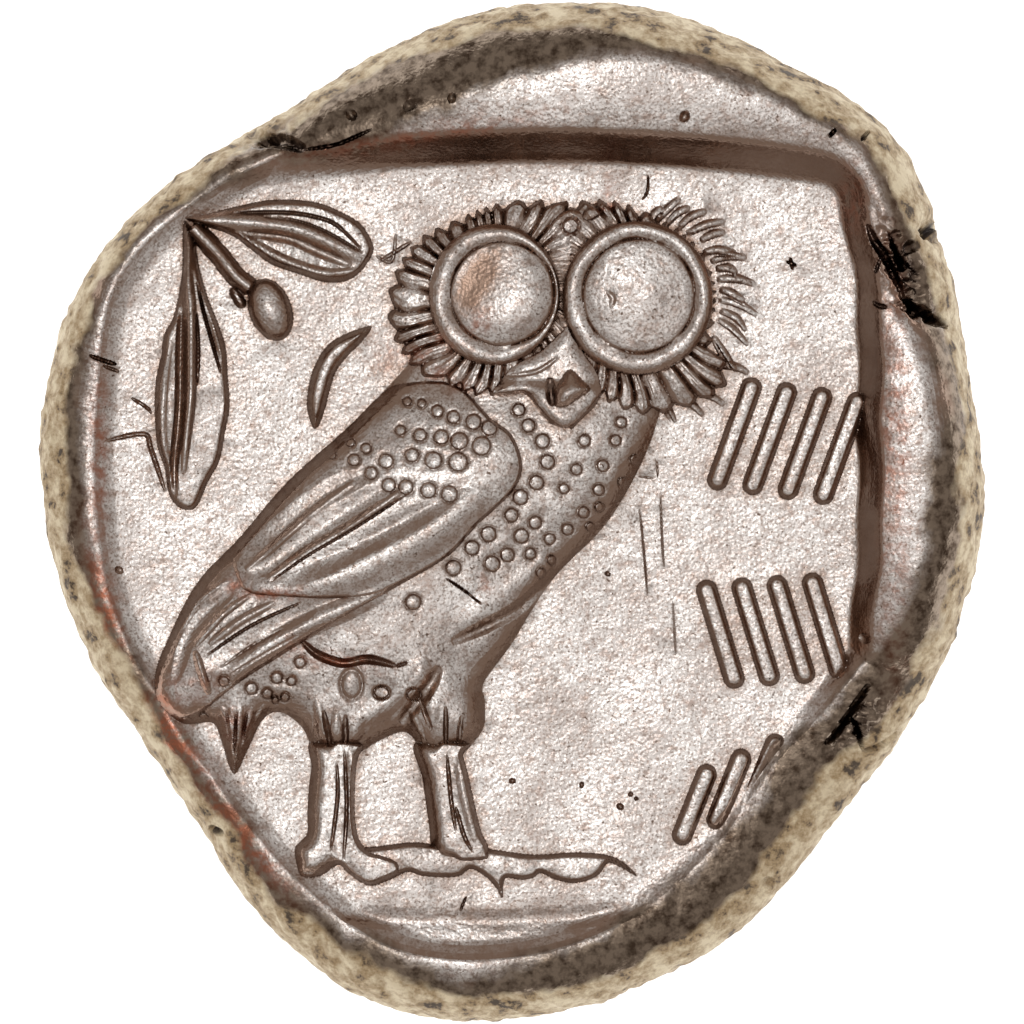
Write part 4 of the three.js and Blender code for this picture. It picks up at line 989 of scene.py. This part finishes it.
MM = 0.001
TRIANGLES = 196000               # in the whole piece
CREASE = math.radians(26)        # sharper meetings of two triangles stay crisp
OWL_TOLERANCE, HEAD_TOLERANCE = 0.0045, 0.008
HEAD_DARK_SHARE, HEAD_CRUST_SHARE = 0.86, 0.93


def owl_lip(angle, flan):
    return around(LIP_RADII, angle)


def head_lip(angle, flan):
    return flan * HEAD_SIDE_SHARE


def make_half(steps, face, wear, lip_radius, edge, tolerance):
    """One half's points, its first triangles, and the line of points along its edge."""
    points = half_points(steps, face, wear, lip_radius, edge)
    triangles = triangulate(hidden_errors(points, normals_of(points)), tolerance)
    return points.reshape(-1, 3), triangles, widest_loop(triangles, steps)


def finish_values(x, y, z):
    """Each point's place in the finish: how dark, crusted, red or brown it is; the dark and the brown
    are partly toning and partly painted shade.
    """
    upper = z > (EDGE_LOW + EDGE_HIGH) / 2
    angle, radius = np.arctan2(y, x), np.hypot(x, y)
    crust_from = np.where(upper, around(CRUST_RADII, angle), HEAD_CRUST_SHARE * flan_radius(angle))
    dark_from = np.where(upper, around(DARK_RADII, angle), HEAD_DARK_SHARE * flan_radius(angle))
    return {
        "dark": radius - dark_from,
        "crust": radius - crust_from,
        "red": np.where(upper, patches(x, y, RED_PATCHES), 0),
        "brown": np.where(upper, patches(x, y, BROWN_TONE_AND_SHADE_PATCHES), 0),
    }


def thinned(mesh, budget):
    """The same surface in fewer triangles, kept where the form needs them."""
    holder = bpy.data.objects.new("holder", mesh)
    bpy.context.scene.collection.objects.link(holder)
    modifier = holder.modifiers.new("thin", "DECIMATE")
    modifier.ratio = min(1.0, budget / len(mesh.polygons))
    evaluated = holder.evaluated_get(bpy.context.evaluated_depsgraph_get())
    fewer = bpy.data.meshes.new_from_object(evaluated)
    bpy.data.objects.remove(holder)
    bpy.data.meshes.remove(mesh)
    return fewer


def make_piece():
    """The coin as one closed mesh, set down in the CAD solid's box."""
    owl_points, owl_triangles, owl_loop = make_half(
        OWL_STEPS, owl_face, owl_wear, owl_lip, EDGE_HIGH, OWL_TOLERANCE,
    )
    head_points, head_triangles, head_loop = make_half(
        HEAD_STEPS, head_face, head_wear, head_lip, EDGE_LOW, HEAD_TOLERANCE,
    )
    offset = len(owl_points)
    band = join_loops((head_loop[0] + offset, head_loop[1]), owl_loop)
    faces = np.concatenate([owl_triangles, head_triangles[:, ::-1] + offset, band])
    used, faces = np.unique(faces, return_inverse=True)
    points = np.concatenate([owl_points, head_points])[used]

    mesh = bpy.data.meshes.new("struck_flan_surface")
    mesh.from_pydata(points.tolist(), [], faces.reshape(-1, 3).tolist())
    mesh = thinned(mesh, TRIANGLES)
    mesh.name = "struck_flan_surface"
    count = len(mesh.vertices)
    points = np.empty(count * 3, np.float32)
    mesh.vertices.foreach_get("co", points)
    points = points.reshape(-1, 3).astype(float)
    for name, values in finish_values(*points.T).items():
        layer = mesh.attributes.new(name, "FLOAT", "POINT")
        layer.data.foreach_set("value", values.astype(np.float32))

    low, high = points.min(0), points.max(0)
    lo, hi = (np.array(corner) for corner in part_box("struck_flan"))
    shift = (lo + hi) / 2 - (low + high) / 2 * MM
    shift[2] = lo[2] - low[2] * MM
    mesh.vertices.foreach_set("co", (points * MM + shift).ravel().astype(np.float32))
    mesh.shade_smooth()
    mesh.set_sharp_from_angle(angle=CREASE)
    piece = bpy.data.objects.new("struck_flan_struck", mesh)
    bpy.context.scene.collection.objects.link(piece)
    return piece


# ---- material ----------------------------------------------------------------------

BRIGHT, DULL, SMOKY = (0.92, 0.895, 0.88), (0.66, 0.61, 0.585), (0.56, 0.47, 0.43)
GRIT, SPECK = (0.36, 0.29, 0.25), (0.16, 0.11, 0.085)
# The brown and the near black carry toning and painted shade together; the red is toning.
BROWN, DEEP_SHADE_AND_TONE, RED = (0.34, 0.225, 0.165), (0.05, 0.035, 0.03), (0.46, 0.17, 0.1)
# The dark band's grey and black: toning together with painted shade on the rim's outer slope.
GREY_TONE_AND_SHADE, BLACK_TONE_AND_SHADE = (0.31, 0.245, 0.19), (0.085, 0.058, 0.04)
SAND, EARTH, DIRT = (0.95, 0.82, 0.58), (0.5, 0.36, 0.2), (0.09, 0.06, 0.035)
SHELTER_REACH = 0.3 * MM         # how near a wall has to stand to shelter a place
GRAIN_DEPTH, PIT_DEPTH = 0.01 * MM, 0.018 * MM
METAL_ROUGHNESS, CRUST_ROUGHNESS = 0.2, 0.6


def node(tree, kind, inputs=None, **settings):
    """A new node, with its settings, and its inputs as values or links."""
    made = tree.nodes.new("ShaderNode" + kind)
    for name, value in settings.items():
        setattr(made, name, value)
    for name, value in (inputs or {}).items():
        fill(tree, made.inputs[name], value)
    return made


def fill(tree, socket, value):
    if isinstance(value, bpy.types.NodeSocket):
        tree.links.new(value, socket)
    else:
        socket.default_value = value


def spread(tree, value, low, high, to_low=0.0, to_high=1.0):
    """A value's range mapped onto another, held at both ends."""
    ranged = node(tree, "MapRange", {
        "Value": value, "From Min": low, "From Max": high, "To Min": to_low, "To Max": to_high,
    })
    return ranged.outputs["Result"]


def combine(tree, operation, a, b=0.0):
    return node(tree, "Math", {0: a, 1: b}, operation=operation).outputs[0]


def blend_colour(tree, share, a, b):
    mixed = node(tree, "Mix", data_type="RGBA")
    colours = [socket for socket in mixed.inputs if socket.type == "RGBA"]
    fill(tree, mixed.inputs["Factor"], share)
    for socket, value in zip(colours, (a, b)):
        fill(tree, socket, (*value, 1.0) if isinstance(value, tuple) else value)
    return next(socket for socket in mixed.outputs if socket.type == "RGBA")


def noise(tree, place, scale, detail=3.0, roughness=0.55):
    made = node(tree, "TexNoise", {
        "Vector": place, "Scale": scale, "Detail": detail, "Roughness": roughness,
    })
    return made.outputs["Fac"]


def attribute(tree, name):
    return node(tree, "Attribute", attribute_name=name).outputs["Fac"]


def bright_metal(tree, place, mottle):
    """Silver with dull clouds, grit and dark specks."""
    cloud = noise(tree, place, 700, 2.5)
    grit = noise(tree, place, 15000, 1.5, 0.6)
    specks = noise(tree, place, 9000, 2.5, 0.6)
    silver = blend_colour(tree, spread(tree, cloud, 0.38, 0.66), BRIGHT, DULL)
    silver = blend_colour(tree, spread(tree, mottle, 0.5, 0.7), silver, SMOKY)
    silver = blend_colour(tree, spread(tree, grit, 0.47, 0.68, 0.0, 0.9), silver, GRIT)
    return blend_colour(tree, spread(tree, specks, 0.64, 0.7), silver, SPECK)


def tone_and_slope_shade(tree, mottle):
    """How far the brown toning goes, furthest in hollows and in patches, with painted shade added on
    slopes and in some of the patches.
    """
    open_sky = node(tree, "AmbientOcclusion", {"Distance": SHELTER_REACH}, samples=2).outputs["AO"]
    normal = node(tree, "NewGeometry").outputs["True Normal"]
    facing = node(tree, "SeparateXYZ", {0: normal}).outputs["Z"]
    tone_and_shade = spread(tree, open_sky, 0.95, 0.4, 0.0, 1.25)
    # Painted shade: the steeper a place, the darker it is made, as where it turns away from the light.
    slope = spread(tree, combine(tree, "ABSOLUTE", facing), 0.96, 0.8, 0.0, 1.0)
    tone_and_shade = combine(tree, "ADD", tone_and_shade, slope)
    # The brown patches add toning and painted shade.
    tone_and_shade = combine(tree, "ADD", tone_and_shade, combine(tree, "MULTIPLY", attribute(tree, "brown"), 0.75))
    return combine(tree, "ADD", tone_and_shade, spread(tree, mottle, 0.3, 0.7, -0.15, 0.15))


def uneven_surface(tree, place):
    """Grain and shallow pits too fine for the mesh, as a bumped normal."""
    grain = noise(tree, place, 12000, 0.6, 0.5)
    pits = noise(tree, place, 3200, 1.5, 0.5)
    fine = node(tree, "Bump", {"Height": grain, "Distance": GRAIN_DEPTH, "Strength": 1.0})
    coarse = node(tree, "Bump", {
        "Height": pits, "Distance": PIT_DEPTH, "Strength": 1.0, "Normal": fine.outputs["Normal"],
    })
    return coarse.outputs["Normal"]


def toned_and_shaded_silver():
    """Silver, toned brown, with painted shade darkening its slopes, dark along the lip from toning and
    painted shade, and crusted at the edge.
    """
    material = bpy.data.materials.new("toned_silver_struck")
    material.use_nodes = True
    tree = material.node_tree
    tree.nodes.clear()
    place = node(tree, "TexCoord").outputs["Object"]
    mottle = noise(tree, place, 3500, 3, 0.65)
    tone_and_shade = tone_and_slope_shade(tree, mottle)
    silver = bright_metal(tree, place, mottle)
    # Silver goes brown with the toning and with the painted shade on slopes and in patches.
    colour = blend_colour(tree, spread(tree, tone_and_shade, 0.0, 0.9, 0.0, 0.92), silver, BROWN)

    wander = spread(tree, noise(tree, place, 450, 3.5, 0.6), 0.25, 0.75, -0.45, 0.45)
    dark_share = spread(tree, combine(tree, "ADD", attribute(tree, "dark"), wander), -0.1, 0.3)
    # Painted shade and toning: the rim's outer slope goes grey to black.
    dark_tone_and_shade = blend_colour(tree, spread(tree, mottle, 0.4, 0.65), GREY_TONE_AND_SHADE, BLACK_TONE_AND_SHADE)
    colour = blend_colour(tree, dark_share, colour, dark_tone_and_shade)
    red_share = combine(tree, "MULTIPLY", attribute(tree, "red"), spread(tree, mottle, 0.35, 0.6))
    colour = blend_colour(tree, red_share, colour, RED)

    streak = noise(tree, place, 1500, 4, 0.72)
    crust = blend_colour(tree, spread(tree, streak, 0.38, 0.55), SAND, EARTH)
    crust = blend_colour(tree, spread(tree, streak, 0.56, 0.64), crust, DIRT)
    crust_edge = combine(tree, "ADD", attribute(tree, "crust"), combine(tree, "MULTIPLY", wander, 0.8))
    crust_share = spread(tree, crust_edge, -0.12, 0.06)
    colour = blend_colour(tree, crust_share, colour, crust)
    # Near black where the toning and painted shade add up most.
    colour = blend_colour(tree, spread(tree, tone_and_shade, 1.55, 2.7), colour, DEEP_SHADE_AND_TONE)

    shader = node(tree, "BsdfPrincipled", {
        "Base Color": colour,
        "Metallic": spread(tree, crust_share, 0, 1, 1.0, 0.0),
        "Roughness": spread(tree, crust_share, 0, 1, METAL_ROUGHNESS, CRUST_ROUGHNESS),
        "Normal": uneven_surface(tree, place),
    })
    out = node(tree, "OutputMaterial")
    tree.links.new(shader.outputs["BSDF"], out.inputs["Surface"])
    return material


# ---- studio ------------------------------------------------------------------------

FRAME_WIDTH = 0.0256             # what the camera takes in, at the flan's widest line
LENS, SENSOR = 1000.0, 36.0
SOFTBOX_HEIGHT = 1.0
# Overlapping round softboxes: sideways place, radius and brightness.
SOFTBOXES = (
    (-0.1, 0.13, 0.12, 1.6), (-0.05, 0.06, 0.38, 0.38), (-0.03, 0.04, 0.65, 0.12),
)
SOFTBOX_STEP = 0.02              # between one softbox and the next above it
WARM_WHITE = (1.0, 0.985, 0.97)
FLOOR_SIZE, FLOOR_GREY, FLOOR_GLOW = 1.2, 0.3, 1.15
SKY_COLOUR, SKY_STRENGTH = (1.0, 0.92, 0.86), 0.42


def make_floor():
    """A pale floor that glows, so the coin stands against white as in the photo."""
    bpy.ops.mesh.primitive_plane_add(size=FLOOR_SIZE, location=(0, 0, 0))
    floor = bpy.context.object
    floor.name = "studio_floor"
    material = bpy.data.materials.new("pale_floor")
    material.use_nodes = True
    shader = material.node_tree.nodes["Principled BSDF"]
    shader.inputs["Base Color"].default_value = (FLOOR_GREY, FLOOR_GREY, FLOOR_GREY, 1)
    shader.inputs["Roughness"].default_value = 0.9
    shader.inputs["Specular IOR Level"].default_value = 0
    shader.inputs["Emission Color"].default_value = (1, 1, 1, 1)
    shader.inputs["Emission Strength"].default_value = FLOOR_GLOW
    floor.data.materials.append(material)


def make_lights():
    """Softboxes over the upper left of the coin, and an even warm sky."""
    for k, (x, y, radius, brightness) in enumerate(SOFTBOXES):
        light = bpy.data.lights.new(f"softbox_{k}", "AREA")
        light.shape = "DISK"
        light.size = 2 * radius
        light.energy = math.pi**2 * radius**2 * brightness
        light.color = WARM_WHITE
        softbox = bpy.data.objects.new(f"softbox_{k}", light)
        softbox.location = (x, y, SOFTBOX_HEIGHT + k * SOFTBOX_STEP)
        bpy.context.scene.collection.objects.link(softbox)
    world = bpy.data.worlds.new("studio")
    world.use_nodes = True
    sky = world.node_tree.nodes["Background"]
    sky.inputs["Color"].default_value = (*SKY_COLOUR, 1)
    sky.inputs["Strength"].default_value = SKY_STRENGTH
    bpy.context.scene.world = world
    bpy.context.scene.view_settings.view_transform = "Standard"


def make_camera():
    """Straight above the middle of the CAD box, with a long lens."""
    lo, hi = cad_bounds
    data = bpy.data.cameras.new("camera")
    data.lens = LENS
    data.sensor_width = SENSOR
    camera = bpy.data.objects.new("camera", data)
    distance = LENS / SENSOR * FRAME_WIDTH
    camera.location = ((lo[0] + hi[0]) / 2, (lo[1] + hi[1]) / 2, EDGE_HIGH * MM + distance)
    bpy.context.scene.collection.objects.link(camera)
    bpy.context.scene.camera = camera


make_camera()
make_floor()
make_lights()
coin = make_piece()
coin.data.materials.append(toned_and_shaded_silver())
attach(coin, "root")
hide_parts("struck_flan")
